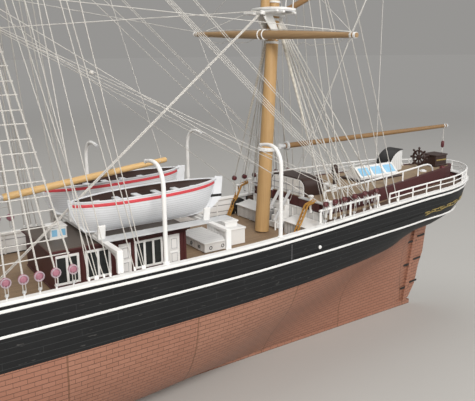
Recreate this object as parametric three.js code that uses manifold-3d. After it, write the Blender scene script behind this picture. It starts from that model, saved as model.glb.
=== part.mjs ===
// A display model of a three-masted clipper, bare of sails, at about one hundredth of the ship's size.
// Millimetres. +X is forward, +Y is port, +Z is up. The origin is on the keel's underside, amidships.
import * as THREE from "three";
import { mergeVertices } from "three/addons/utils/BufferGeometryUtils.js";
import Module from "manifold-3d";

const wasm = await Module();
wasm.setup();

// Driving sizes
const waterline = 63.5;
const keelDepth = 3.7;
const postHalf = 1.8;
const bulwarkHeight = 13;
const deckThick = 0.9;
const gap = 0.3;
const railThick = 1.5;
const railWidth = 4;
const wallThick = 1.5;
const sternStart = -300;
const sternLength = 67;
const bowStart = 280;
const bowLength = 65;
const poopFront = -200;
const poopSideDeck = 97.5;
const forecastleAft = 235;
const toRadians = Math.PI / 180;

// Half breadths of the hull. Columns: x, then at z = 4, 12, 26, 46, 63.5, 72, 81 and at the rail.
const heights = [4, 12, 26, 46, 63.5, 72, 81];
const stations = [
  [-300, 2.2, 2.5, 3.4, 6.5, 14, 27, 35, 39.5],
  [-270, 2.4, 3.2, 5.5, 12.5, 28, 35, 39, 41],
  [-240, 2.8, 4.5, 9, 21, 36, 40, 42, 43],
  [-210, 3.4, 6.5, 14, 29.5, 41.5, 44, 45.2, 45.5],
  [-180, 4.2, 9.5, 20.5, 37, 46, 47.3, 48, 48],
  [-130, 7, 18, 32, 45, 50, 51, 51.5, 51.5],
  [-70, 10.5, 25, 38.5, 48.5, 51.5, 52.3, 52.6, 52.5],
  [-10, 12, 27.5, 40.5, 49.5, 52, 52.8, 53, 52.8],
  [60, 11, 26, 39, 48, 51, 52, 52.5, 52.5],
  [120, 8, 20, 32, 43, 47.5, 49.2, 50.4, 51],
  [180, 5, 12, 21.5, 33, 39.5, 42.5, 44.8, 47.5],
  [230, 3, 6.5, 12.5, 21.5, 28, 31.5, 35, 41.5],
  [280, 2.2, 3, 5.5, 9.5, 13.5, 16.5, 20.5, 29.5],
];
// At the same heights: how far the stern runs aft of sternStart, how full it is, and the stem's x and fullness.
const sternReach = [14.9, 16.2, 18.6, 22, 25, 47, 60, sternLength];
const sternPower = [3, 3, 3, 3, 3, 1.6, 1, 1];
const stemAt = [300, 310, 317.5, 321.5, 325, 327.5, 331, 341];
const bowPower = [1.1, 1.1, 1.1, 1.1, 1.05, 1, 0.95, 0.8];
// Height of the rail cap along the ship. Columns: x, z.
const sheer = [
  [-367, 101.6],
  [-300, 100.2],
  [-240, 98],
  [-180, 96],
  [-130, 95.2],
  [-10, 95],
  [60, 95.6],
  [120, 97],
  [180, 99.5],
  [230, 102.8],
  [280, 106],
  [345, 109.5],
];
// Height and half width of the raised poop trunk. Columns: x, top z, half width.
const trunk = [
  [-200.3, 105, 36],
  [-223, 105.4, 34],
  [-260, 106, 29],
  [-302, 106.8, 21],
  [-330, 107.3, 15.5],
  [-350, 107.6, 11],
  [-357, 107.8, 5],
];

// Interpolation

function segment(xs, x) {
  let i = 0;
  while (i < xs.length - 2 && x > xs[i + 1]) i += 1;
  return i;
}

function linear(xs, ys, x) {
  const i = segment(xs, x);
  const t = (x - xs[i]) / (xs[i + 1] - xs[i]);
  return ys[i] + (ys[i + 1] - ys[i]) * Math.min(1, Math.max(0, t));
}

function smooth(xs, ys, x) {
  const i = segment(xs, x);
  const span = xs[i + 1] - xs[i];
  const t = Math.min(1, Math.max(0, (x - xs[i]) / span));
  const slope = (a, b) => (ys[b] - ys[a]) / (xs[b] - xs[a]);
  const start = i > 0 ? slope(i - 1, i + 1) : slope(i, i + 1);
  const end = i < xs.length - 2 ? slope(i, i + 2) : slope(i, i + 1);
  const h = [2 * t ** 3 - 3 * t ** 2 + 1, t ** 3 - 2 * t ** 2 + t, 3 * t ** 2 - 2 * t ** 3, t ** 3 - t ** 2];
  return h[0] * ys[i] + h[1] * start * span + h[2] * ys[i + 1] + h[3] * end * span;
}

const column = (table, k) => table.map((row) => row[k]);
const railTop = (s) => smooth(column(sheer, 0), column(sheer, 1), s);
const deckTop = (s) => railTop(s) - bulwarkHeight;
const trunkTop = (x) => linear(column(trunk, 0).reverse(), column(trunk, 1).reverse(), x);

// The hull's surface: s is x along the body, and runs on round the stern and the bow.
function hullPoint(s, z, inset = 0) {
  const levels = [...heights, railTop(s)];
  const body = Math.min(bowStart, Math.max(sternStart, s));
  const breadths = levels.map((_, k) => smooth(column(stations, 0), column(stations, k + 1), body));
  const breadth = smooth(levels, breadths, z);
  if (s < sternStart) {
    const turn = ((sternStart - s) / sternLength) * (Math.PI / 2);
    const reach = linear(levels, sternReach, z) - inset;
    const power = linear(levels, sternPower, z);
    return [sternStart - reach * Math.sin(turn), (breadth - inset) * Math.cos(turn) ** power];
  }
  if (s > bowStart) {
    const t = (s - bowStart) / bowLength;
    const full = breadth * (1 - t) ** linear(levels, bowPower, z) + postHalf * t;
    return [bowStart + (linear(levels, stemAt, z) - bowStart) * t, Math.max(0.2, full - inset)];
  }
  return [s, Math.max(0.2, breadth - inset)];
}

// Stations for lofting, from the stern's end to the stem
const sternEnd = sternStart - sternLength * 0.998;
const bodyStations = [-270, -240, -220, poopFront, -180, -140, -90, -30, 30, 90, 140, 180, 210, forecastleAft, 260, 280];
const hullStations = [sternEnd, -360, -345, -325, sternStart, ...bodyStations, 300, 320, 335, 344.9];
const between = (low, high) => [low, ...hullStations.filter((s) => s > low + 4 && s < high - 4), high];

// Solids

// A closed skin through rings of points. Point i of a ring lies across from point m - 1 - i.
function loft(rings) {
  const m = rings[0].length;
  const last = (rings.length - 1) * m;
  const index = [];
  for (let r = 0; r < rings.length - 1; r += 1) {
    for (let i = 0; i < m; i += 1) {
      const a = r * m + i;
      const b = r * m + ((i + 1) % m);
      index.push(a, b, b + m, a, b + m, a + m);
    }
  }
  for (let i = 0; i < m / 2 - 1; i += 1) {
    const j = m - 1 - i;
    index.push(i + 1, i, j, i + 1, j, j - 1);
    index.push(last + i, last + i + 1, last + j - 1, last + i, last + j - 1, last + j);
  }
  const points = rings.flat();
  let volume = 0;
  for (let k = 0; k < index.length; k += 3) {
    const [p, q, w] = [points[index[k]], points[index[k + 1]], points[index[k + 2]]];
    volume += p.dot(new THREE.Vector3().crossVectors(q, w));
  }
  if (volume < 0) index.reverse();
  const geometry = new THREE.BufferGeometry().setFromPoints(points);
  return geometry.setIndex(index);
}

function toSolid(geometry) {
  const bare = new THREE.BufferGeometry();
  bare.setAttribute("position", geometry.getAttribute("position"));
  bare.setIndex(geometry.getIndex());
  const merged = mergeVertices(bare, 1e-4);
  return new wasm.Manifold(
    new wasm.Mesh({
      numProp: 3,
      vertProperties: new Float32Array(merged.attributes.position.array),
      triVerts: new Uint32Array(merged.index.array),
    }),
  );
}

function fromSolid(made) {
  const mesh = made.getMesh();
  const geometry = new THREE.BufferGeometry();
  geometry.setAttribute("position", new THREE.BufferAttribute(mesh.vertProperties, 3));
  return geometry.setIndex(new THREE.BufferAttribute(mesh.triVerts, 1));
}

const join = (...pieces) => fromSolid(pieces.map(toSolid).reduce((a, b) => a.add(b)));
const cut = (body, ...tools) => fromSolid(tools.map(toSolid).reduce((a, b) => a.subtract(b), toSolid(body)));

function box(x0, x1, y0, y1, z0, z1) {
  const geometry = new THREE.BoxGeometry(x1 - x0, y1 - y0, z1 - z0);
  return geometry.translate((x0 + x1) / 2, (y0 + y1) / 2, (z0 + z1) / 2);
}

// A straight round bar from a to b
function rod(a, b, radiusA, radiusB = radiusA, sides = 6) {
  const from = new THREE.Vector3(...a);
  const along = new THREE.Vector3(...b).sub(from);
  const geometry = new THREE.CylinderGeometry(radiusB, radiusA, along.length(), sides);
  geometry.translate(0, along.length() / 2, 0);
  geometry.applyQuaternion(
    new THREE.Quaternion().setFromUnitVectors(new THREE.Vector3(0, 1, 0), along.normalize()),
  );
  return geometry.translate(...a);
}

// A spar turned from a row of [distance, radius], lying along `direction` from `start`
function spar(start, direction, profile, sides = 8) {
  const ends = [[profile[0][0], 0], ...profile, [profile[profile.length - 1][0], 0]];
  const points = ends.map(([distance, radius]) => new THREE.Vector2(radius, distance));
  const geometry = new THREE.LatheGeometry(points, sides);
  const along = new THREE.Vector3(...direction).normalize();
  geometry.applyQuaternion(new THREE.Quaternion().setFromUnitVectors(new THREE.Vector3(0, 1, 0), along));
  return geometry.translate(...start);
}

// A square-sectioned bar bent along points
function bar(points, radius) {
  const rings = points.map((p, i) => {
    const before = points[Math.max(0, i - 1)];
    const after = points[Math.min(points.length - 1, i + 1)];
    const along = new THREE.Vector3().subVectors(after, before).normalize();
    const across = new THREE.Vector3(0, 0, 1).cross(along).normalize().multiplyScalar(radius);
    const up = new THREE.Vector3().crossVectors(along, across).normalize().multiplyScalar(radius);
    return [[1, 1], [1, -1], [-1, -1], [-1, 1]].map(([u, v]) =>
      p.clone().addScaledVector(across, u).addScaledVector(up, v),
    );
  });
  return loft(rings);
}

// A flat outline in x and z, given thickness across the ship
function sideProfile(outline, half) {
  const shape = new THREE.Shape(outline.map(([x, z]) => new THREE.Vector2(x, z)));
  const geometry = new THREE.ExtrudeGeometry(shape, { depth: 2 * half, bevelEnabled: false });
  return geometry.rotateX(Math.PI / 2).translate(0, half, 0);
}

// A shape in y and z, given length along the ship
function crossProfile(shape, x0, x1) {
  const geometry = new THREE.ExtrudeGeometry(shape, { depth: x1 - x0, bevelEnabled: false, curveSegments: 5 });
  const turn = new THREE.Matrix4().makeBasis(
    new THREE.Vector3(0, 1, 0),
    new THREE.Vector3(0, 0, 1),
    new THREE.Vector3(1, 0, 0),
  );
  return geometry.applyMatrix4(turn).translate(x0, 0, 0);
}

// The assembly

const ship = new THREE.Group();
const finishes = {
  copper: { color: 0xb98068, roughness: 0.6, metalness: 0.1 },
  black: { color: 0x1c1c1d, roughness: 0.6, metalness: 0 },
  white: { color: 0xe9e9e6, roughness: 0.6, metalness: 0 },
  deck: { color: 0x8a6a48, roughness: 0.75, metalness: 0 },
  maroon: { color: 0x4a1518, roughness: 0.6, metalness: 0 },
  darkBrown: { color: 0x2a1a14, roughness: 0.6, metalness: 0 },
  paleWood: { color: 0xd8b070, roughness: 0.55, metalness: 0 },
  stainedWood: { color: 0x7a5230, roughness: 0.55, metalness: 0 },
  thread: { color: 0xdedbd2, roughness: 0.8, metalness: 0 },
};

function add(name, geometry, finish, parent = ship) {
  const mesh = new THREE.Mesh(geometry, new THREE.MeshStandardMaterial(finishes[finish]));
  mesh.name = name;
  parent.add(mesh);
  return mesh;
}

const at = (s, z, inset, side) => {
  const [x, y] = hullPoint(s, z, inset);
  return new THREE.Vector3(x, side * y, z);
};
// A ring across the ship, from rows of [z, inset]
const hullRing = (s, rows) => [
  ...rows.map(([z, inset]) => at(s, z, inset, 1)),
  ...rows.map(([z, inset]) => at(s, z, inset, -1)).reverse(),
];

// Hull: the coppered bottom, the black topsides, and the keel with its posts

const bottomLevels = [keelDepth + gap, 8, 15, 26, 40, 52, waterline];
const bottomRing = (s) => hullRing(s, bottomLevels.map((z) => [z, 0]));
add("hull_bottom", loft(hullStations.map(bottomRing)), "copper");

const topsideRing = (s) => {
  const top = deckTop(s) - deckThick - gap;
  return hullRing(s, [waterline, 68, 72, 76.5, top].map((z) => [z, 0]));
};
add("hull_topsides", loft(hullStations.map(topsideRing)), "black");

const postThick = 3;
const stemThick = 3.2;
const beakReach = 12;
const levelsUp = [keelDepth, 12, 26, 46, waterline];
const postFront = (z) => sternStart - linear([...heights, 200], sternReach, z) - gap;
const stemBack = (z) => linear([...heights, 109.5], stemAt, z) + gap;
const sternpostTop = waterline - gap;
const headLevels = [12, 26, 46, waterline, 81, 92, 101];
const headWidth = [4, 3.4, stemThick, stemThick, 4, 7, beakReach];
const keelOutline = [
  [postFront(keelDepth) - postThick - 4, 0],
  [stemBack(4) - 6, 0],
  [stemBack(4) + 2, 2],
  ...headLevels.map((z, i) => [stemBack(z) + headWidth[i], z]),
  [stemBack(104) + beakReach + 2, 104.5],
  [stemBack(104), 104.5],
  ...headLevels.toReversed().map((z) => [stemBack(z), z]),
  [stemBack(4), keelDepth],
  [postFront(keelDepth), keelDepth],
  ...levelsUp.slice(1, -1).map((z) => [postFront(z), z]),
  [postFront(sternpostTop), sternpostTop],
  [postFront(sternpostTop) - postThick, sternpostTop],
  [postFront(keelDepth + 1) - postThick, keelDepth - 0.4],
  [postFront(keelDepth + 1) - postThick - 4, keelDepth - 0.4],
];
add("keel", sideProfile(keelOutline, postHalf), "copper");

// Rudder, hung on the sternpost's after face. The pin line leans aft with the post.

const rudderHalf = 1.2;
const postAft = (z) => postFront(z) - postThick;
const pinOffset = rudderHalf + 0.5;
const pinX = (z) => postAft(z) - pinOffset;
const rudderFoot = 4.6;
const rudderHead = 62.6;
const rudderAft = [
  [rudderFoot, 2.4],
  [15, 7.2],
  [29, 8],
  [40, 10.4],
  [55, 9.6],
  [rudderHead, 9.8],
];
const rudderRing = ([z, chord]) => {
  const x = pinX(z);
  const round = rudderHalf * 0.72;
  const outline = [
    [x - chord, 0.5],
    [x, rudderHalf],
    [x + round, round],
    [x + rudderHalf, 0.35],
  ];
  const port = outline.map(([px, y]) => new THREE.Vector3(px, y, z));
  const starboard = outline.map(([px, y]) => new THREE.Vector3(px, -y, z)).reverse();
  return [...port, ...starboard];
};
add("rudder", loft(rudderAft.map(rudderRing)), "copper");

// Decks

const deckInset = wallThick + gap;
const flatRing = (s, top, bottom, inset = deckInset) => hullRing(s, [[bottom, inset], [top, inset]]);
const mainDeckRing = (s) => flatRing(s, deckTop(s), deckTop(s) - deckThick);
const hatchCoaming = box(22, 50, -12, 12, deckTop(22) - 0.5, 88);
const foreHatchCoaming = box(196, 214, -9, 9, deckTop(214) - 0.5, 94);
add(
  "main_deck",
  join(loft(between(poopFront + gap, forecastleAft - gap).map(mainDeckRing)), hatchCoaming, foreHatchCoaming),
  "deck",
);

const forecastleRing = (s) => flatRing(s, railTop(s) - railThick - gap, deckTop(s) - deckThick);
add("forecastle_deck", loft(between(forecastleAft, 338).map(forecastleRing)), "deck");

const sideDeckTop = (s) => Math.min(poopSideDeck, railTop(s) - railThick - gap);
const poopRing = (s) => flatRing(s, sideDeckTop(s), deckTop(s) - deckThick);
const trunkFoot = 93;
const trunkRing = ([x, top, half]) => [
  new THREE.Vector3(x, half, trunkFoot),
  new THREE.Vector3(x, half, top),
  new THREE.Vector3(x, -half, top),
  new THREE.Vector3(x, -half, trunkFoot),
];

// The handrail on the trunk's edge, one each side. Columns: x, y.
const handrailPosts = [
  [-202, 33.6],
  [-222, 32.3],
  [-242, 30],
  [-262, 27],
  [-282, 23.4],
  [-302, 19.8],
];
const handrailEnd = [-325, 14];
const handrailTop = 8.3;
function handrail(side) {
  const top = handrailPosts.map(([x, y]) => new THREE.Vector3(x, side * y, trunkTop(x) + handrailTop));
  const [endX, endY] = handrailEnd;
  top.push(new THREE.Vector3(endX, side * endY, trunkTop(endX) - 0.3));
  const posts = handrailPosts.map(([x, y]) =>
    rod([x, side * y, trunkTop(x) - 0.5], [x, side * y, trunkTop(x) + handrailTop], 0.6, 0.6, 4),
  );
  return [bar(top, 0.6), ...posts];
}
add(
  "poop_deck",
  join(
    loft(hullStations.filter((s) => s <= poopFront).map(poopRing)),
    loft(trunk.map(trunkRing)),
    ...handrail(1),
    ...handrail(-1),
  ),
  "deck",
);

// Bulwarks with their rail caps

const capOut = 1;
const bulwarkRows = (s) => {
  const top = railTop(s);
  const under = top - railThick;
  const foot = deckTop(s) - deckThick;
  return [
    [foot, 0],
    [under, 0],
    [under, -capOut],
    [top, -capOut],
    [top, railWidth - capOut],
    [under, railWidth - capOut],
    [under, wallThick],
    [foot, wallThick],
  ];
};
for (const [name, side] of [["port", 1], ["starboard", -1]]) {
  const ring = (s) => bulwarkRows(s).map(([z, inset]) => at(s, z, inset, side));
  add(`bulwark_${name}`, loft(hullStations.map(ring)), "black");
}

// The open stanchion rail round the stern

const sternRailStart = -250;
const sternRailHeight = 8.5;
const sternRailInset = 1;
const sternPosts = [sternRailStart, -264, -278, -292, -306, -320, -334, -348, -360];
const endPost = -366.9;
const sternRun = (lift) => [
  ...sternPosts.map((s) => at(s, railTop(s) + lift, sternRailInset, 1)),
  at(endPost, railTop(endPost) + lift, sternRailInset, 0),
  ...sternPosts.toReversed().map((s) => at(s, railTop(s) + lift, sternRailInset, -1)),
];
function sternRail() {
  const feet = sternRun(gap);
  const heads = sternRun(sternRailHeight);
  const posts = feet.map((foot, i) => rod(foot.toArray(), heads[i].toArray(), 0.55, 0.55, 4));
  return join(bar(heads, 0.5), ...posts);
}
add("stern_rail", sternRail(), "white");

// Poop fittings

function roundedHouse(halfWidth, base, top, corner) {
  const shape = new THREE.Shape();
  shape.moveTo(-halfWidth, base);
  shape.lineTo(halfWidth, base);
  shape.lineTo(halfWidth, top - corner);
  shape.absarc(halfWidth - corner, top - corner, corner, 0, Math.PI / 2, false);
  shape.absarc(corner - halfWidth, top - corner, corner, Math.PI / 2, Math.PI, false);
  shape.closePath();
  return shape;
}
const companion = { front: -201, back: -216, half: 17, top: 116, y: -1 };
const companionHouse = crossProfile(
  roundedHouse(companion.half, trunkTop(companion.front) + 1.2, companion.top, 5),
  companion.back,
  companion.front,
).translate(0, companion.y, 0);
add("companion_house", companionHouse, "white");

const skylight = { fore: -257, aft: -295, half: 11, eaves: 110, ridge: 115 };
const skylightShape = new THREE.Shape();
[
  [-skylight.half, 107.1],
  [skylight.half, 107.1],
  [skylight.half, skylight.eaves],
  [1.2, skylight.ridge],
  [-1.2, skylight.ridge],
  [-skylight.half, skylight.eaves],
].forEach(([y, z], i) => (i ? skylightShape.lineTo(y, z) : skylightShape.moveTo(y, z)));
add("skylight", crossProfile(skylightShape, skylight.aft, skylight.fore), "white");

const hood = { fore: -298, aft: -312, y0: -16, y1: -4, base: 107.3, top: 122 };
const hoodOutline = [[hood.fore, hood.base]];
for (let i = 0; i <= 6; i += 1) {
  const turn = (i / 6) * (Math.PI / 2);
  const lift = (hood.top - hood.base) * Math.sin(turn);
  hoodOutline.push([hood.aft + (hood.fore - hood.aft) * Math.cos(turn) * 0.97, hood.base + 0.6 + lift]);
}
hoodOutline.push([hood.aft, hood.base]);
const hoodHalf = (hood.y1 - hood.y0) / 2;
add("companion_hood", sideProfile(hoodOutline, hoodHalf).translate(0, (hood.y0 + hood.y1) / 2, 0), "darkBrown");

const wheelCentre = [-326, 0, 115.2];
const wheelBox = { fore: -338, aft: -351, half: 6, top: 117 };
add("wheel_box", box(wheelBox.aft, wheelBox.fore, -wheelBox.half, wheelBox.half, 108.2, wheelBox.top), "darkBrown");

const wheelRim = 5.5;
const wheelReach = 7.6;
function steeringWheel() {
  const rim = new THREE.TorusGeometry(wheelRim, 0.8, 5, 16).rotateY(Math.PI / 2);
  const hub = rod([-1.4, 0, 0], [1.4, 0, 0], 1.8, 1.8, 8);
  const shaft = rod([wheelBox.fore - wheelCentre[0] + gap, 0, 0], [0, 0, 0], 0.9);
  const pieces = [rim, hub, shaft];
  for (let i = 0; i < 4; i += 1) {
    const turn = (i * Math.PI) / 4;
    const tip = [0, wheelReach * Math.cos(turn), wheelReach * Math.sin(turn)];
    pieces.push(rod(tip.map((v) => -v), tip, 0.55, 0.55, 4));
  }
  return join(...pieces).translate(...wheelCentre);
}
add("steering_wheel", steeringWheel(), "darkBrown");

// Deck fittings before the poop

for (const [name, y0, y1] of [["port", 12, 38], ["starboard", -40, -12]]) {
  add(`hen_coop_${name}`, box(-198.5, -188, y0, y1, deckTop(-198.5) + gap, 93), "white");
}
const hatchFloor = deckTop(-159) + gap;
add(
  "after_hatch",
  join(
    box(-145, -129, -15, 15, hatchFloor, 88),
    box(-159, -144.9, -9, 12, hatchFloor, 92.3),
    box(-157, -148, -5, 7, 92, 96),
  ),
  "white",
);

const afterHouse = { aft: -113, fore: -41, half: 22.5, wallTop: 101.6, roofTop: 103 };
add(
  "after_house",
  join(
    box(afterHouse.aft, afterHouse.fore, -afterHouse.half, afterHouse.half, deckTop(-113) + gap, 102),
    box(-114.5, -39.5, -24, 24, afterHouse.wallTop, afterHouse.roofTop),
    box(-56, -45, -1, 11, 102.9, 107),
  ),
  "maroon",
);
const foreHouse = { aft: 68, fore: 134, half: 19, wallTop: 104.5, roofTop: 106 };
const foreBoat = { x: 98, y: 11.5, keel: 109.3, length: 58, half: 8.6, depth: 13.5 };
add(
  "fore_house",
  join(
    box(foreHouse.aft, foreHouse.fore, -foreHouse.half, foreHouse.half, deckTop(134) + gap, 105),
    box(66.5, 135.5, -20.5, 20.5, foreHouse.wallTop, foreHouse.roofTop),
    ...[82, 114].map((x) => box(x - 1, x + 1, -20, 20, 105.9, foreBoat.keel - gap)),
  ),
  "maroon",
);

// Boats, open inside, with thwarts
const aftBoat = { x: -91, y: 21, keel: 108.3, length: 84, half: 11, depth: 16.5 };
const boatRake = 0.12;
const boatRim = { over: 0.6, fall: 1 };
const thwartHeight = 0.82;
const boatStations = [-1, -0.93, -0.75, -0.45, 0, 0.45, 0.75, 0.93, 1];
function boat({ x, y, keel, length, half, depth }, side) {
  const skin = (t, shrink) => {
    const full = Math.max(0.9, half * (1 - Math.abs(t) ** 2.4) ** 0.75) - shrink;
    const rise = depth * 0.22 * Math.abs(t) ** 8;
    const top = depth + boatRim.over - boatRim.fall * t + (shrink ? 1 : 0);
    const rows = [[0.12, rise + shrink], [0.5, rise + depth * 0.2 + shrink], [0.86, depth * 0.6], [1, top]];
    const ring = rows.map(([w, z]) => {
      const reach = (t * length * (1 - boatRake * (1 - z / top))) / 2;
      return new THREE.Vector3(x + reach, full * w, keel + z);
    });
    return [...ring, ...ring.map((p) => new THREE.Vector3(p.x, -p.y, p.z)).reverse()];
  };
  const outside = loft(boatStations.map((t) => skin(t, 0)));
  const inside = loft(boatStations.slice(1, -1).map((t) => skin(t * 0.97, 1)));
  const thwart = (t) => {
    const reach = half * (1 - Math.abs(t) ** 2.4) ** 0.75 - 0.4;
    const place = x + (t * length) / 2;
    return box(place - 2, place + 2, -reach, reach, keel + depth * thwartHeight, keel + depth * thwartHeight + 1);
  };
  const shell = cut(outside, inside);
  return join(shell, ...[-0.6, -0.2, 0.2, 0.6].map(thwart)).translate(0, side * y, 0);
}
for (const [name, side] of [["port", 1], ["starboard", -1]]) {
  add(`boat_aft_${name}`, boat(aftBoat, side), "white");
  add(`boat_fore_${name}`, boat(foreBoat, side), "white");
}

// Skids that carry the after boats over the house
const skids = { x: [-123, -64], half: 49.8, under: 104.2, over: 106 };
function skidPieces() {
  const pieces = [];
  for (const x of skids.x) {
    pieces.push(box(x - 1.5, x + 1.5, -skids.half, skids.half, skids.under, skids.over));
    for (const side of [1, -1]) {
      const y = side * (skids.half - 1);
      pieces.push(box(x - 1.5, x + 1.5, y - 1, y + 1, railTop(x) + gap, skids.under + 0.5));
      pieces.push(box(x - 1, x + 1, side * aftBoat.y - 5, side * aftBoat.y + 5, skids.over - 0.5, aftBoat.keel - gap));
    }
  }
  for (const side of [1, -1]) {
    const [low, high] = side > 0 ? [25, 32] : [-32, -25];
    pieces.push(box(-137, -50, low, high, skids.under + 0.4, skids.over - 0.2));
  }
  return join(...pieces);
}
add("boat_skids", skidPieces(), "white");

// Davits, curved in over the boats
const davit = { radius: 1.1, foot: 50, tipY: 32, fore: { x: -87, top: 143.2 }, aft: { x: -156, top: 144.8 } };
function davitGeometry({ x, top }, side) {
  const path = new THREE.CatmullRomCurve3(
    [
      [davit.foot, railTop(x) + gap],
      [davit.foot, 115],
      [davit.foot - 0.4, top - 10],
      [davit.foot - 4.5, top - 2.6],
      [davit.foot - 11, top],
      [davit.tipY, top - 0.8],
    ].map(([y, z]) => new THREE.Vector3(x, side * y, z)),
  );
  const section = new THREE.Shape();
  section.absarc(0, 0, davit.radius, 0, 2 * Math.PI, false);
  return new THREE.ExtrudeGeometry(section, { extrudePath: path, steps: 14, curveSegments: 3, bevelEnabled: false });
}
for (const place of ["fore", "aft"]) {
  for (const [name, side] of [["port", 1], ["starboard", -1]]) {
    add(`davit_${place}_${name}`, davitGeometry(davit[place], side), "white");
  }
}

// Bowsprit and jib boom, with the dolphin striker
const steeve = 18.5 * toRadians;
const alongBow = (distance) => [Math.cos(steeve) * distance, Math.sin(steeve) * distance];
const bowspritHeel = [312, 0, 106.1];
const jibOffset = 3.4;
const jibRadius = 1.9;
const jibStart = alongBow(38);
const jibHeel = [bowspritHeel[0] + jibStart[0], 0, bowspritHeel[2] + jibStart[1] + jibOffset];
const strikerAt = alongBow(88);
const strikerTop = [bowspritHeel[0] + strikerAt[0], 0, bowspritHeel[2] + strikerAt[1]];
const bowDirection = [Math.cos(steeve), 0, Math.sin(steeve)];
add(
  "bowsprit",
  join(
    cut(
      spar(bowspritHeel, bowDirection, [[0, 3.4], [40, 3.8], [70, 3.6], [92, 2.8]]),
      box(300, 334.5, -6, 6, 95, railTop(338) - railThick),
    ),
    spar(jibHeel, bowDirection, [[0, jibRadius], [40, jibRadius], [110, 1.5], [165, 0.9]]),
    box(strikerTop[0] - 1.6, strikerTop[0] + 1.6, -2.8, 2.8, strikerTop[2] - 2.5, strikerTop[2] + 5.5),
    rod(strikerTop, [strikerTop[0] - 3, 0, strikerTop[2] - 32], 1, 0.6),
  ),
  "paleWood",
);

// Masts. Heights are above the mast's foot, measured along the raked mast.
const masts = {
  mizzen: { x: -180, rake: 3.8, radius: 4.5, top: 132, lowerCap: 168, crosstrees: 212, topmastCap: 246, truck: 356 },
  main: { x: -10, rake: 3.5, radius: 5, top: 162, lowerCap: 204, crosstrees: 268, topmastCap: 304, truck: 444 },
  fore: { x: 180, rake: 3, radius: 4.9, top: 152, lowerCap: 193, crosstrees: 254, topmastCap: 289, truck: 415 },
};
// Yards. Columns: name, height above the mast's foot, half length, greatest radius, dip of the port end in degrees.
const yards = {
  mizzen: [
    ["crossjack_yard", 119, 72, 2.5, 1.5],
    ["mizzen_lower_topsail_yard", 161, 64, 1.9],
    ["mizzen_upper_topsail_yard", 194, 60, 1.9],
    ["mizzen_topgallant_yard", 262, 47, 1.5],
    ["royal", 306, 38, 1.2],
  ],
  main: [
    ["main_yard", 147, 119, 3],
    ["main_lower_topsail_yard", 199, 103, 2.4],
    ["main_upper_topsail_yard", 237, 97, 2.4],
    ["main_topgallant_yard", 318, 73, 1.8],
    ["royal", 370, 58, 1.4],
  ],
  fore: [
    ["fore_yard", 138, 119, 3],
    ["fore_lower_topsail_yard", 188, 103, 2.4],
    ["fore_upper_topsail_yard", 225, 97, 2.4],
    ["fore_topgallant_yard", 301, 73, 1.8],
    ["royal", 351, 58, 1.4],
  ],
};
const braceTurn = 3.9 * toRadians;
const topLead = 7;
const lowerTaper = 0.8;

// A yard across the ship, its centre at [x, 0, z] of the raked mast, braced a little round
function yardGeometry(x, z, half, radius, dip = 0) {
  const profile = [
    [0, radius * 0.5],
    [half * 0.5, radius * 0.85],
    [half, radius],
    [half * 1.5, radius * 0.85],
    [half * 2, radius * 0.5],
  ];
  const geometry = spar([0, -half, 0], [0, 1, 0], profile);
  return geometry.rotateX(-dip * toRadians).rotateZ(braceTurn).translate(x, 0, z);
}

function topPlatform(z, reach, width) {
  const shape = new THREE.Shape();
  shape.moveTo(-reach * 0.55, -width);
  shape.lineTo(reach * 0.5, -width);
  shape.quadraticCurveTo(reach * 1.5, -width * 0.9, reach * 1.5, 0);
  shape.quadraticCurveTo(reach * 1.5, width * 0.9, reach * 0.5, width);
  shape.lineTo(-reach * 0.55, width);
  shape.closePath();
  return new THREE.ExtrudeGeometry(shape, { depth: 1.2, bevelEnabled: false, curveSegments: 3 }).translate(0, 0, z);
}

const mastFoot = (mast) => deckTop(mast.x) + gap + mast.radius * Math.sin(mast.rake * toRadians) + 0.1;

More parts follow.
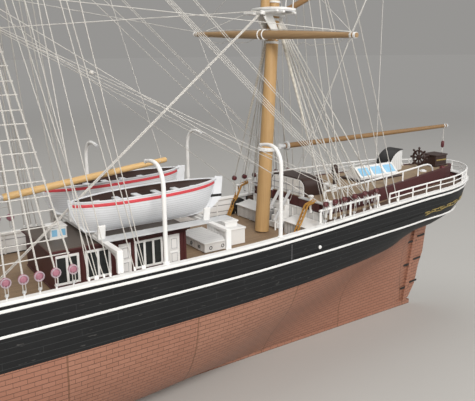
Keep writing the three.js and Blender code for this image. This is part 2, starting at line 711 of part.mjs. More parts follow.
for (const [name, mast] of Object.entries(masts)) {
  const raked = new THREE.Group();
  raked.position.set(mast.x, 0, mastFoot(mast));
  raked.rotation.y = -mast.rake * toRadians;
  ship.add(raked);
  const headRadius = mast.radius * 0.7;
  const topmastRadius = mast.radius * 0.6;
  const topgallantRadius = mast.radius * 0.42;
  const topmastX = headRadius + topmastRadius + gap + 0.4;
  const capThick = 2.2;
  const lowerPieces = [
    spar([0, 0, 0], [0, 0, 1], [[0, mast.radius], [mast.top, mast.radius * lowerTaper], [mast.top, headRadius], [mast.lowerCap, headRadius]]),
    topPlatform(mast.top, topLead, mast.radius * 3.3),
    box(-headRadius - 1, headRadius + 0.4, -headRadius - 1, headRadius + 1, mast.lowerCap - capThick, mast.lowerCap),
  ];
  for (const side of [1, -1]) {
    const cheek = sideProfile([[0, mast.top - 14], [5, mast.top - 6], [9, mast.top + 0.3], [-3, mast.top + 0.3]], 0.7);
    lowerPieces.push(cheek.translate(0, side * (mast.radius * lowerTaper - 0.2), 0));
  }
  if (name === "mizzen") {
    lowerPieces.push(rod([0, 0, 50], [0, 0, 53], 5.4, 5.4, 10), box(-8.2, -3, -1, 1, 50.6, 52.4));
  }
  if (name === "main") {
    lowerPieces.push(rod([0, 0, 42.5], [0, 0, 45.5], 6.1, 6.1, 10), box(-9.2, -4, -1, 1, 43.1, 44.9));
  }
  add(`${name}_lower_mast`, join(...lowerPieces), "paleWood", raked);

  const royal = yards[name].find(([yard]) => yard === "royal");
  const topgallantX = topmastX + topmastRadius + topgallantRadius - 0.3;
  const trees = topPlatform(mast.crosstrees, 4.4, mast.radius * 1.9).translate(topmastX, 0, 0);
  add(
    `${name}_upper_mast`,
    join(
      spar([topmastX, 0, 0], [0, 0, 1], [[mast.top + 1.2 + gap, topmastRadius], [mast.topmastCap, topmastRadius * 0.72]]),
      trees,
      box(topmastX - 2.4, topgallantX + 1.6, -2.2, 2.2, mast.topmastCap - 1.6, mast.topmastCap),
      spar([topgallantX, 0, 0], [0, 0, 1], [[mast.crosstrees, topgallantRadius], [mast.truck, topgallantRadius * 0.4]]),
      yardGeometry(topgallantX + royal[3], royal[1], royal[2], royal[3]),
    ),
    "paleWood",
    raked,
  );
  for (const [yard, height, half, radius, dip] of yards[name].filter(([label]) => label !== "royal")) {
    const carrier = [
      [mast.top, 0, mast.radius * 0.9],
      [mast.topmastCap - 1, topmastX, topmastRadius],
      [mast.truck, topgallantX, topgallantRadius],
    ].find(([limit]) => height < limit);
    const clear = height > mast.top && height < mast.lowerCap ? 0.2 : 0;
    const x = carrier[1] + carrier[2] + radius + gap + clear;
    add(yard, yardGeometry(x, height, half, radius, dip), "stainedWood", raked);
  }
}

// Booms. Both turn about an upright pin just aft of the ring on their mast.
const mastX = (name, z) => {
  const mast = masts[name];
  return mast.x - Math.tan(mast.rake * toRadians) * (z - deckTop(mast.x));
};
const spankerZ = 135.7;
const spankerPin = mastX("mizzen", spankerZ) - 10;
const spankerEnd = -356;
add(
  "spanker_boom",
  join(
    rod([spankerPin + 1, 0, spankerZ], [-199, 0, spankerZ], 0.9),
    rod([-198, 0, spankerZ], [-200, 0, spankerZ], 2.4, 2.4, 8),
    spar([-199, 0, spankerZ], [spankerEnd + 199, 0, 1.3], [[0, 2], [60, 2], [157, 1.4]]),
  ),
  "stainedWood",
);
const mainBoomZ = 126.5;
const mainBoomPin = mastX("main", mainBoomZ) - 11;
add(
  "main_boom",
  join(
    rod([mainBoomPin + 1, 0, mainBoomZ], [mainBoomPin - 4, 0, mainBoomZ], 0.9),
    spar([mainBoomPin - 3, 0, mainBoomZ], [-111.5 - mainBoomPin + 3, 0, 9], [[0, 2], [40, 2], [85.3, 1.6]]),
  ),
  "paleWood",
);
const gaffZ = 215;
const gaffStart = mastX("mizzen", gaffZ) - 5;
add(
  "spanker_gaff",
  spar([gaffStart, 0, gaffZ], [-88, 0, 40], [[0, 1.8], [40, 1.8], [97, 1]]),
  "stainedWood",
);

// Shrouds: a strip on the rail, lanyards, upper deadeyes and legs to the masthead.
// Columns: mast, x of each shroud's foot at the rail.
const shroudFeet = {
  mizzen: [-191, -199, -207, -216, -225, -235.5],
  main: [-6, -13, -20, -26.5, -33.5, -41],
  fore: [182, 174, 166, 158, 149, 141],
};
const deadeye = { radius: 1.7, half: 0.9, upper: { mizzen: 12, main: 8, fore: 8 } };
const stripInset = 0.6;
const headSpacing = 1.1;
function shroudGang(name, side) {
  const mast = masts[name];
  const headZ = mastFoot(mast) + mast.top - 8.5;
  const headY = side * (mast.radius * lowerTaper + 1.4);
  const head = (i) => [mastX(name, headZ) - 1, headY, headZ + i * headSpacing];
  const feet = shroudFeet[name];
  const foot = (x, lift) => at(x, railTop(x) + lift, stripInset, side).toArray();
  const strip = [feet[0] + 3, feet[feet.length - 1] - 3];
  const pieces = [
    rod(foot(strip[0], 1.4), foot(strip[1], 1.4), 1, 1, 4),
    rod(head(-0.5), head(feet.length - 0.5), 0.5, 0.5, 4),
  ];
  feet.forEach((x, i) => {
    const upper = deadeye.upper[name];
    const [px, py, pz] = foot(x, upper);
    pieces.push(rod([px, py - deadeye.half, pz], [px, py + deadeye.half, pz], deadeye.radius, deadeye.radius, 6));
    pieces.push(rod(foot(x, 1.4), foot(x, upper - 1), 0.5, 0.5, 3));
    pieces.push(rod(foot(x, upper + 1), head(i), 0.45, 0.35, 3));
  });
  return join(...pieces);
}
for (const name of Object.keys(masts)) {
  add(`${name}_shrouds_port`, shroudGang(name, 1), "thread");
  add(`${name}_shrouds_starboard`, shroudGang(name, -1), "thread");
}

// Stays, each from the fore edge of its lower top down forward. Columns: name, mast, foot.
const foreStayX = 352;
const foreStayZ = jibHeel[2] + Math.tan(steeve) * (foreStayX - jibHeel[0]) + jibRadius + 1.1;
const stays = [
  ["mizzen_stay", "mizzen", [-10, 10, deckTop(-10) + 0.5]],
  ["main_stay", "main", [168, 9, deckTop(168) + 0.5]],
  ["fore_stay", "fore", [foreStayX, 0, foreStayZ]],
];
for (const [stay, name, foot] of stays) {
  const mast = masts[name];
  const rake = mast.rake * toRadians;
  const lead = topLead * 1.4;
  const up = mast.top - 1;
  const head = [
    mast.x + lead * Math.cos(rake) - up * Math.sin(rake),
    0,
    mastFoot(mast) + up * Math.cos(rake) + lead * Math.sin(rake),
  ];
  add(stay, rod(head, foot, 0.6), "thread");
}

export default ship;
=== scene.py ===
# A display model of a three-masted clipper, dressed over its CAD frame.
# Sizes are written in millimetres, as on the model, and turned into metres where a mesh is made.
import math

import bpy
from mathutils import Matrix, Vector


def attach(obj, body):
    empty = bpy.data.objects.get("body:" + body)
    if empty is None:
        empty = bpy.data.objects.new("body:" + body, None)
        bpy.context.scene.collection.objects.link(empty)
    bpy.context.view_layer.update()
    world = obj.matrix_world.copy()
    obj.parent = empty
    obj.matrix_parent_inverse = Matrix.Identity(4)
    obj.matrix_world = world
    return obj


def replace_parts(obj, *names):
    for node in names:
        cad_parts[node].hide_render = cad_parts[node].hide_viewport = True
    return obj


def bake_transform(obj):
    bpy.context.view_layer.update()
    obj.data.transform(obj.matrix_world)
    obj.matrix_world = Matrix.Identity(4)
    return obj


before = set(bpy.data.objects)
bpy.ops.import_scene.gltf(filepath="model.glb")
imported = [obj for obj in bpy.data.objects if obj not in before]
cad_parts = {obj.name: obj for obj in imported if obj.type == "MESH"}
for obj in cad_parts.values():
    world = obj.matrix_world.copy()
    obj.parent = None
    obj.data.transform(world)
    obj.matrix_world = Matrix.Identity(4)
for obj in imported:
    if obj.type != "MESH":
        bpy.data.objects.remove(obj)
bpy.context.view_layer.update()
mm = 0.001
waterline = 63.5


# Small tools for making pieces

lying = math.pi / 2  # the tilt that lays a strip level


def wide(middle, half):
    return (middle - half, middle + half)


def between(start, end, t):
    return [a + (b - a) * t for a, b in zip(start, end)]


def circle(radius, count):
    turns = [2 * math.pi * k / count for k in range(count)]
    return [(radius * math.cos(turn), radius * math.sin(turn)) for turn in turns]


# A path straight up through heights with their thickness
def upright(x, y, *rows):
    return [(x, y, *row) for row in rows]


def only(*objects):
    bpy.ops.object.select_all(action="DESELECT")
    for item in objects:
        item.select_set(True)
    bpy.context.view_layer.objects.active = objects[0]


def joined(name, pieces, finish, body="root"):
    only(*pieces)
    if len(pieces) > 1:
        bpy.ops.object.join()
    piece = bpy.context.active_object
    bpy.ops.object.transform_apply(location=True, rotation=True, scale=True)
    piece.name = name
    piece.data.name = name
    piece.data.materials.clear()
    piece.data.materials.append(finish)
    finish.name in slotOf
    if body:
        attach(piece, body)
    return piece


# Curves through points (x, y, z) or (x, y, z, thickness), made into one mesh.
# A flat one is a strip, standing upright or, tilted, lying level.
def run(name, paths, radius, finish, body="root", flat=0, tilt=0, round=1, closed=False):
    curve = bpy.data.curves.new(name, "CURVE")
    curve.dimensions = "3D"
    curve.twist_mode = "Z_UP" if flat or tilt else "MINIMUM"
    curve.bevel_depth = radius * mm
    curve.bevel_resolution = round
    curve.extrude = flat * mm
    curve.use_fill_caps = True
    for path in paths:
        spline = curve.splines.new("POLY")
        spline.points.add(len(path) - 1)
        spline.use_cyclic_u = closed
        for point, place in zip(spline.points, path):
            point.co = (place[0] * mm, place[1] * mm, place[2] * mm, 1)
            point.radius = place[3] if len(place) > 3 else 1
            point.tilt = tilt
    item = bpy.data.objects.new(name, curve)
    bpy.context.collection.objects.link(item)
    only(item)
    bpy.ops.object.convert(target="MESH")
    bpy.ops.object.shade_smooth_by_angle(angle=math.radians(40))
    return joined(name, [bpy.context.active_object], finish, body)


# A mesh of points and faces, its normals turned outwards
def meshed(name, points, faces, weld=0.0):
    mesh = bpy.data.meshes.new(name)
    mesh.from_pydata([tuple(value * mm for value in point) for point in points], [], faces)
    item = bpy.data.objects.new(name, mesh)
    bpy.context.collection.objects.link(item)
    only(item)
    bpy.ops.object.mode_set(mode="EDIT")
    bpy.ops.mesh.select_all(action="SELECT")
    if weld:
        bpy.ops.mesh.remove_doubles(threshold=weld * mm)
    bpy.ops.mesh.normals_make_consistent(inside=False)
    bpy.ops.object.mode_set(mode="OBJECT")
    return item


# A card block between two corners, its edges eased
def slab(x, y, z, edge=0.15):
    centre = [(pair[0] + pair[1]) / 2 * mm for pair in (x, y, z)]
    size = [(pair[1] - pair[0]) * mm for pair in (x, y, z)]
    bpy.ops.mesh.primitive_cube_add(size=1, location=centre, scale=size)
    item = bpy.context.active_object
    bpy.ops.object.transform_apply(location=True, rotation=True, scale=True)
    bpy.ops.object.mode_set(mode="EDIT")
    bpy.ops.mesh.select_all(action="SELECT")
    bpy.ops.mesh.bevel(offset=edge * mm, segments=1, affect="EDGES")
    bpy.ops.object.mode_set(mode="OBJECT")
    return item


def turned(item, degrees, axis, about):
    pivot = Vector(about) * mm
    spin = Matrix.Translation(pivot) @ Matrix.Rotation(math.radians(degrees), 4, axis) @ Matrix.Translation(-pivot)
    item.matrix_world = spin @ item.matrix_world
    return item


# A round disc or drum on an axis, its rims eased
def drum(centre, radius, length, axis="Z", sides=20, edge=0.2):
    turn = {"X": (0, math.pi / 2, 0), "Y": (math.pi / 2, 0, 0), "Z": (0, 0, 0)}[axis]
    place = [value * mm for value in centre]
    bpy.ops.mesh.primitive_cylinder_add(
        vertices=sides, radius=radius * mm, depth=length * mm, location=place, rotation=turn)
    item = bpy.context.active_object
    bpy.ops.object.transform_apply(location=True, rotation=True, scale=True)
    rim = item.modifiers.new("rim", "BEVEL")
    rim.width = edge * mm
    rim.segments = 2
    bpy.ops.object.modifier_apply(modifier="rim")
    bpy.ops.object.shade_smooth_by_angle(angle=math.radians(40))
    return item


# Finishes

# A node's socket that adds, multiplies and compares like a number
class Wire:
    def __init__(self, finish, socket):
        self.finish = finish
        self.socket = socket

    def maths(self, operation, *values):
        return self.finish.node("ShaderNodeMath", {"operation": operation}, values)

    def __add__(self, other):
        return self.maths("ADD", self, other)

    def __sub__(self, other):
        return self.maths("SUBTRACT", self, other)

    def __rsub__(self, other):
        return self.maths("SUBTRACT", other, self)

    def __mul__(self, other):
        return self.maths("MULTIPLY", self, other)

    def __truediv__(self, other):
        return self.maths("DIVIDE", self, other)

    def __gt__(self, other):
        return self.maths("GREATER_THAN", self, other)

    def __lt__(self, other):
        return self.maths("LESS_THAN", self, other)

    def __or__(self, other):
        return self.maths("MAXIMUM", self, other)

    __radd__ = __add__
    __rmul__ = __mul__

    def floor(self):
        return self.maths("FLOOR", self)

    def every(self, spacing, width):
        return self.maths("FRACT", self / spacing) < width / spacing


class Finish:
    def __init__(self, name, **fixed):
        self.material = bpy.data.materials.new(name)
        self.material.use_nodes = True
        self.tree = self.material.node_tree
        self.shader = self.tree.nodes["Principled BSDF"]
        for name, value in fixed.items():
            self.shader.inputs[name].default_value = value

    def node(self, kind, settings, inputs, output=0):
        made = self.tree.nodes.new(kind)
        for name, value in settings.items():
            setattr(made, name, value)
        for key, value in (inputs if isinstance(inputs, dict) else dict(enumerate(inputs))).items():
            self.feed(made.inputs[key], value)
        return Wire(self, made.outputs[output])

    def feed(self, socket, value):
        if isinstance(value, Wire):
            self.tree.links.new(value.socket, socket)
        elif isinstance(value, tuple) and len(value) == 3 and len(socket.default_value) == 4:
            socket.default_value = (*value, 1)
        else:
            socket.default_value = value

    def place(self):
        where = self.node("ShaderNodeTexCoord", {}, {}, "Object")
        return self.node("ShaderNodeVectorMath", {"operation": "SCALE"}, {"Vector": where, "Scale": 1000})

    def split(self, vector):
        apart = self.node("ShaderNodeSeparateXYZ", {}, [vector])
        return [Wire(self, socket) for socket in apart.socket.node.outputs]

    def noise(self, size, stretch=(1, 1, 1), detail=3):
        where = self.node("ShaderNodeVectorMath", {"operation": "MULTIPLY"}, [self.place(), stretch])
        return self.node("ShaderNodeTexNoise", {}, {"Vector": where, "Scale": 1 / size, "Detail": detail})

    def speckle(self, a, b):
        where = self.node("ShaderNodeCombineXYZ", {}, [a, b, 0.5])
        return self.node("ShaderNodeTexWhiteNoise", {}, {"Vector": where})

    def mix(self, mask, low, high):
        return self.node("ShaderNodeMix", {"data_type": "RGBA"}, {0: mask, 6: low, 7: high}, 2)

    def done(self, colour, roughness=None, height=None, depth=0.05):
        self.feed(self.shader.inputs["Base Color"], colour)
        if roughness is not None:
            self.feed(self.shader.inputs["Roughness"], roughness)
        if height is not None:
            bump = self.node("ShaderNodeBump", {}, {"Height": height, "Distance": depth * mm, "Strength": 0.8})
            self.feed(self.shader.inputs["Normal"], bump)
        return self.material


# Printed card, with a faint mottle and tooth
def card(name, colour, roughness=0.55, mottle=0.12):
    finish = Finish(name)
    cloud = finish.noise(9)
    tooth = finish.noise(0.35)
    dark = tuple(value * (1 - mottle) for value in colour)
    light = tuple(min(1, value * (1 + mottle * 0.6)) for value in colour)
    return finish.done(finish.mix(cloud, dark, light), roughness + tooth * 0.12, tooth, 0.03)


# Card printed with fine level lines
def ruled(name, colour, ink, pitch, width):
    finish = Finish(name)
    x, y, z = finish.split(finish.place())
    line = z.every(pitch, width)
    tooth = finish.noise(0.35)
    return finish.done(finish.mix(line * 0.6 + tooth * 0.06, colour, ink), 0.55 + tooth * 0.1, 1 - line * 0.5, 0.04)


# Turned wood, its grain drawn out along one axis
def grained(name, light, dark, along, roughness=0.42):
    finish = Finish(name)
    stretch = tuple(0.06 if axis == along else 1 for axis in "XYZ")
    grain = finish.noise(0.9, stretch, 5)
    patches = finish.noise(14, stretch)
    knots = finish.noise(3.2, tuple(value * 0.5 + 0.2 for value in stretch)) > 0.68
    colour = finish.mix(grain, dark, light)
    colour = finish.mix(patches * 0.35, colour, light)
    colour = finish.mix(knots * 0.12, colour, dark)
    return finish.done(colour, roughness + grain * 0.15, grain, 0.05)


def threadFinish(name, colour, twist=0.55):
    finish = Finish(name)
    x, y, z = finish.split(finish.place())
    strand = x.maths("SINE", (x + y * 0.8 + z * 1.1) * (6.28 / twist))
    fluff = finish.noise(0.5)
    shade = tuple(value * 0.72 for value in colour)
    return finish.done(finish.mix(strand * 0.3 + fluff * 0.6, shade, colour), 0.75, strand + fluff, 0.06)


# The bottom: copper sheets laid like bricks, in wide panels of slightly different tint
copper = {
    "sheet": (6.0, 2.5), "seam": 0.36, "panel": 68, "from": 36, "level": 60, "bow": 0.002,
    "light": (0.4, 0.2, 0.135), "dark": (0.29, 0.135, 0.085), "tint": (0.3, 0.11, 0.07),
    "line": (0.075, 0.036, 0.025), "joint": (0.13, 0.062, 0.03), "black": (0.02, 0.02, 0.021),
}


def copperFinish(name, blackAbove=None):
    finish = Finish(name)
    x, y, z = finish.split(finish.place())
    length, height = copper["sheet"]
    row = (z / height).floor()
    column = x / length + row * 0.5
    bowed = x + copper["from"] + (z - copper["level"]) * (z - copper["level"]) * copper["bow"]
    seam = z.every(height, copper["seam"]) | column.every(1, copper["seam"] / 10)
    joint = bowed.every(copper["panel"], 0.9)
    plate = finish.speckle(column.floor(), row)
    panel = finish.speckle((bowed / copper["panel"]).floor(), 0.0)
    cloud = finish.noise(22)
    colour = finish.mix(plate * 0.35 + cloud * 0.6, copper["dark"], copper["light"])
    colour = finish.mix(panel * 0.3, colour, copper["tint"])
    colour = finish.mix(seam * 0.78, colour, copper["line"])
    colour = finish.mix(joint * 0.6, colour, copper["joint"])
    if blackAbove:
        colour = finish.mix((z > blackAbove) * (x > 0), colour, copper["black"])
    return finish.done(colour, 0.42 + cloud * 0.2 + plate * 0.06, 1 - seam * 0.8, 0.05)


# Black strakes above the copper, with butt joints that shift from strake to strake
def topsideFinish(strakeHeight=3.1, plankLength=71):
    finish = Finish("blackPlanks", **{"Specular IOR Level": 0.22})
    x, y, z = finish.split(finish.place())
    strake = (z / strakeHeight).floor()
    line = z.every(strakeHeight, 0.2)
    butt = (x + strake * 17.3).every(plankLength, 0.18)
    scratch = finish.noise(0.8, (0.12, 1, 1), 5) > 0.69
    cloud = finish.noise(12)
    colour = finish.mix(cloud, (0.009, 0.0095, 0.0105), (0.017, 0.018, 0.019))
    colour = finish.mix(line * 0.5 | butt * 0.4, colour, (0.07, 0.075, 0.078))
    colour = finish.mix(scratch * 0.35, colour, (0.16, 0.155, 0.15))
    return finish.done(colour, 0.42 + cloud * 0.22, 1 - line * 0.5, 0.05)


# Deck planks along the ship; the sides of the raised poop can be maroon in the same finish
def planked(name, light, dark, seam, width=1.7, trunkSides=False, plankLength=58):
    finish = Finish(name)
    x, y, z = finish.split(finish.place())
    plank = (y / width).floor()
    shifted = x + plank * 23.7
    butt = shifted.every(plankLength, 0.22)
    lines = y.every(width, 0.2) | butt
    tone = finish.speckle(plank, (shifted / plankLength).floor())
    grain = finish.noise(1.4, (0.08, 1, 1), 4)
    colour = finish.mix(tone * 0.45 + grain * 0.5, dark, light)
    colour = finish.mix(lines * 0.5, colour, seam)
    if trunkSides:
        upTrunk = (z > 97.7) * (z < (x + 200) * -0.0178 + 104.9)
        colour = finish.mix(upTrunk, colour, finish.mix(grain, (0.05, 0.011, 0.012), (0.09, 0.02, 0.02)))
    return finish.done(colour, 0.62 + grain * 0.12, 1 - lines * 0.6, 0.04)


# Card printed with upright or level panel lines, drawn along one axis
def panelled(name, colour, line, axis, spacing, width=0.3, level=None):
    finish = Finish(name)
    along = finish.split(finish.place())["XYZ".index(axis)]
    marks = along.every(spacing, width)
    if level:
        marks = marks | finish.split(finish.place())[2].every(level, width)
    tooth = finish.noise(0.4)
    shade = tuple(value * 0.9 for value in colour)
    body = finish.mix(finish.noise(8), shade, colour)
    return finish.done(finish.mix(marks * 0.75, body, line), 0.5 + tooth * 0.1, 1 - marks, 0.04)


def paneFinish(name, low, high, roughness=0.12):
    finish = Finish(name)
    streak = finish.noise(3.5, (1, 0.4, 0.7))
    return finish.done(finish.mix(streak, low, high), roughness + streak * 0.1)


white = card("whiteCard", (0.82, 0.82, 0.81))
greyWhite = card("greyWhiteCard", (0.55, 0.56, 0.57))
maroon = card("maroonCard", (0.075, 0.018, 0.018), 0.45, 0.3)
darkBrown = card("darkBrownCard", (0.04, 0.018, 0.013), 0.4, 0.35)
slateBrown = card("roofCard", (0.10, 0.078, 0.062), 0.45, 0.25)
strapBlack = card("blackStraps", (0.012, 0.011, 0.011), 0.4, 0.3)
deadeyeRed = card("deadeyeRed", (0.13, 0.025, 0.03), 0.35, 0.35)
deadeyePink = card("deadeyePink", (0.36, 0.15, 0.2), 0.4, 0.25)
boatRed = card("boatRed", (0.62, 0.06, 0.075), 0.45, 0.15)
gilt = card("gilt", (0.34, 0.25, 0.07), 0.35, 0.4)
sternBlack = topsideFinish()
copperSheets = copperFinish("copperSheets")
keelCopper = copperFinish("keelCopper", blackAbove=waterline)
mainPlanks = planked("mainDeckPlanks", (0.33, 0.23, 0.14), (0.21, 0.14, 0.085), (0.08, 0.05, 0.03))
poopPlanks = planked("poopPlanks", (0.36, 0.27, 0.17), (0.25, 0.175, 0.11), (0.1, 0.065, 0.04), 1.9, True)
boatWhite = card("boatWhite", (0.72, 0.74, 0.77))
boatPlanks = ruled("boatPlanks", (0.72, 0.74, 0.77), (0.3, 0.31, 0.33), 1.25, 0.14)
mastWood = grained("mastWood", (0.56, 0.36, 0.165), (0.38, 0.225, 0.09), "Z")
boomWood = grained("boomWood", (0.7, 0.48, 0.22), (0.52, 0.31, 0.12), "X")
spritWood = grained("spritWood", (0.66, 0.43, 0.19), (0.46, 0.26, 0.1), "X")
yardWood = grained("yardWood", (0.4, 0.26, 0.13), (0.24, 0.145, 0.065), "Y")
gaffWood = grained("gaffWood", (0.3, 0.17, 0.065), (0.17, 0.09, 0.033), "X")
ladderWood = grained("ladderWood", (0.5, 0.27, 0.06), (0.3, 0.14, 0.03), "Z")
palerThread = threadFinish("threadWhite", (0.78, 0.76, 0.72))
shroudThread = threadFinish("threadShroud", (0.66, 0.64, 0.6), 0.8)
twistedRope = threadFinish("twistedRope", (0.7, 0.66, 0.58), 2.4)
printGrey = card("printedLines", (0.34, 0.34, 0.36))
ringLilac = card("ringLilac", (0.42, 0.34, 0.38))
# Side-deck planks of the poop, darker than the other decks: a painted shade from the trunk and bulwark beside them
sideDeckShadeBrown = planked("sideDeckShadeBrown", (0.15, 0.095, 0.068), (0.115, 0.072, 0.05), (0.05, 0.03, 0.022))
bluePane = paneFinish("bluePane", (0.12, 0.38, 0.62), (0.38, 0.66, 0.86))
darkPane = paneFinish("darkPane", (0.008, 0.009, 0.01), (0.05, 0.055, 0.055))
whitePanels = panelled("whitePanels", (0.8, 0.8, 0.79), (0.3, 0.31, 0.32), "Y", 5.2, 0.3)
whiteStaves = panelled("whiteStaves", (0.78, 0.79, 0.79), (0.4, 0.42, 0.43), "X", 2.1, 0.3)
hatchLines = panelled("hatchLines", (0.82, 0.82, 0.81), (0.4, 0.4, 0.42), "Y", 3.3, 0.22)
coopBars = panelled("coopBars", (0.8, 0.8, 0.79), (0.17, 0.17, 0.18), "Y", 1.5, 0.75)
liningWhite = panelled("liningWhite", (0.78, 0.78, 0.78), (0.12, 0.12, 0.13), "Z", 4.3, 0.55)
slots = {
    "copper_sheathing": [copperSheets, keelCopper], "black_topsides": [sternBlack, strapBlack],
    "deck_planks": [mainPlanks, poopPlanks],
    "white_card": [white, greyWhite, boatWhite, boatPlanks, whitePanels, whiteStaves, hatchLines, coopBars,
                   liningWhite],
    "maroon_card": [maroon, deadeyeRed, deadeyePink, boatRed],
    "dark_brown_card": [darkBrown, slateBrown, sideDeckShadeBrown],
    "pale_wood": [mastWood, boomWood, spritWood], "stained_wood": [yardWood, gaffWood, ladderWood],
    "white_thread": [palerThread, shroudThread, twistedRope],
}
slotOf = {finish.name: slot for slot, finishes in slots.items() for finish in finishes}
print("finishes made:", len(bpy.data.materials))


# The hull's lines, as the frame has them. Columns of stations: x, then half breadths at the heights and at the rail.
hull = {
    "deckUnderRail": 13, "deckThick": 0.9, "deckIn": 1.6,
    "heights": [4, 12, 26, 46, waterline, 72, 81], "body": (-300, 280),
    "stations": [
        (-300, 2.2, 2.5, 3.4, 6.5, 14, 27, 35, 39.5), (-270, 2.4, 3.2, 5.5, 12.5, 28, 35, 39, 41),
        (-240, 2.8, 4.5, 9, 21, 36, 40, 42, 43), (-210, 3.4, 6.5, 14, 29.5, 41.5, 44, 45.2, 45.5),
        (-180, 4.2, 9.5, 20.5, 37, 46, 47.3, 48, 48), (-130, 7, 18, 32, 45, 50, 51, 51.5, 51.5),
        (-70, 10.5, 25, 38.5, 48.5, 51.5, 52.3, 52.6, 52.5), (-10, 12, 27.5, 40.5, 49.5, 52, 52.8, 53, 52.8),
        (60, 11, 26, 39, 48, 51, 52, 52.5, 52.5), (120, 8, 20, 32, 43, 47.5, 49.2, 50.4, 51),
        (180, 5, 12, 21.5, 33, 39.5, 42.5, 44.8, 47.5), (230, 3, 6.5, 12.5, 21.5, 28, 31.5, 35, 41.5),
        (280, 2.2, 3, 5.5, 9.5, 13.5, 16.5, 20.5, 29.5)],
    "sternReach": [14.9, 16.2, 18.6, 22, 25, 47, 60, 67], "sternPower": [3, 3, 3, 3, 3, 1.6, 1, 1],
    "sternLength": 67, "bowLength": 65, "stemWidth": 1.8, "stemAt": [300, 310, 317.5, 321.5, 325, 327.5, 331, 341],
    "bowPower": [1.1, 1.1, 1.1, 1.1, 1.05, 1, 0.95, 0.8],
    "sheer": [(-367, 101.6), (-300, 100.2), (-240, 98), (-180, 96), (-130, 95.2), (-10, 95), (60, 95.6),
              (120, 97), (180, 99.5), (230, 102.8), (280, 106), (345, 109.5)],
    "stern": -366.866, "bow": 344.9, "poopFront": -200, "poopSide": 97.5, "forecastle": 235,
}


def segment(xs, x):
    i = 0
    while i < len(xs) - 2 and x > xs[i + 1]:
        i += 1
    return i


def linear(xs, ys, x):
    i = segment(xs, x)
    t = min(1, max(0, (x - xs[i]) / (xs[i + 1] - xs[i])))
    return ys[i] + (ys[i + 1] - ys[i]) * t


def smooth(xs, ys, x):
    i = segment(xs, x)
    span = xs[i + 1] - xs[i]
    t = min(1, max(0, (x - xs[i]) / span))

    def slope(a, b):
        return (ys[b] - ys[a]) / (xs[b] - xs[a])

    start = slope(i - 1, i + 1) if i else slope(i, i + 1)
    end = slope(i, i + 2) if i < len(xs) - 2 else slope(i, i + 1)
    value = (2 * t**3 - 3 * t**2 + 1) * ys[i] + (t**3 - 2 * t**2 + t) * start * span
    return value + (3 * t**2 - 2 * t**3) * ys[i + 1] + (t**3 - t**2) * end * span


sheerXs, sheerZs = zip(*hull["sheer"])
stationColumns = list(zip(*hull["stations"]))


def railTop(s):
    return smooth(sheerXs, sheerZs, s)


def deckTop(s):
    return railTop(s) - hull["deckUnderRail"]


# A point of the hull at s along it and z up, drawn in by inset; s runs on round the stern and the bow
def hullPoint(s, z, inset=0.0, side=1):
    levels = [*hull["heights"], railTop(s)]
    first, last = hull["body"]
    breadths = [smooth(stationColumns[0], column, min(last, max(first, s))) for column in stationColumns[1:]]
    breadth = smooth(levels, breadths, z)
    if s < first:
        turn = (first - s) / hull["sternLength"] * math.pi / 2
        reach = linear(levels, hull["sternReach"], z) - inset
        width = (breadth - inset) * max(0, math.cos(turn)) ** linear(levels, hull["sternPower"], z)
        return (first - reach * math.sin(turn), side * width, z)
    if s > last:
        t = (s - last) / hull["bowLength"]
        width = breadth * (1 - t) ** linear(levels, hull["bowPower"], z) + hull["stemWidth"] * t - inset
        return (last + (linear(levels, hull["stemAt"], z) - last) * t, side * max(0.2, width), z)
    return (s, side * max(0.2, breadth - inset), z)


def stationsFrom(low, high, step=8):
    near = [s for s in (-365.5, -363.5, -361, -358, -354, 341, 343.5) if low < s < high]
    even = [low + (high - low) * i / max(1, int((high - low) / step)) for i in range(int((high - low) / step) + 1)]
    return sorted({round(s, 3) for s in [low, *even, *near, high]})


def atRail(s, lift, inset, side=1):
    return hullPoint(s, railTop(s) + lift, inset, side)


# A closed skin through rings of points
def lofted(name, rings, finish, nodes=(), body="root", angle=35):
    count = len(rings[0])
    points = [point for ring in rings for point in ring]
    faces = [[r * count + i, r * count + (i + 1) % count, (r + 1) * count + (i + 1) % count, (r + 1) * count + i]
             for r in range(len(rings) - 1) for i in range(count)]
    faces += [list(range(count)), list(range(len(points) - count, len(points)))]
    item = meshed(name, points, faces, 0.01)
    bpy.ops.object.shade_smooth_by_angle(angle=math.radians(angle))
    piece = joined(name, [item], finish, body)
    if nodes:
        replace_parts(piece, *nodes)
    return piece


def across(rows, s):
    port = [hullPoint(s, z, inset) for z, inset in rows]
    return port + [(x, -y, z) for x, y, z in reversed(port)]


whole = stationsFrom(hull["stern"], hull["bow"])
bottomLevels = [4, 6, 8, 11, 15, 20, 26, 33, 40, 46, 52, 58, waterline]
lofted("coppered_bottom", [across([(z, 0) for z in bottomLevels], s) for s in whole], copperSheets,
       ["hull_bottom"])
lofted("topsides", [across([(z, 0) for z in (waterline, 66, 69, 72, 75, 78, deckTop(s) - 1.2)], s) for s in whole],
       sternBlack, ["hull_topsides"])


def railRing(s, side, rows):
    return [atRail(s, lift, inset, side) for lift, inset in rows]


sideNames = ((1, "port"), (-1, "starboard"))
wallRows = [(-13.9, 0), (-9, 0), (-1.5, 0), (-1.5, 1.5), (-9, 1.5), (-13.9, 1.5)]
capRows = [(-1.5, -0.7), (-1.2, -1), (-0.3, -1), (0, -0.7), (0, 2.7), (-0.3, 3), (-1.2, 3), (-1.5, 2.7)]
for side, name in sideNames:
    lofted("bulwark_wall_" + name, [railRing(s, side, wallRows) for s in whole], sternBlack, ["bulwark_" + name])
    lofted("rail_cap_" + name, [railRing(s, side, capRows) for s in whole], white)

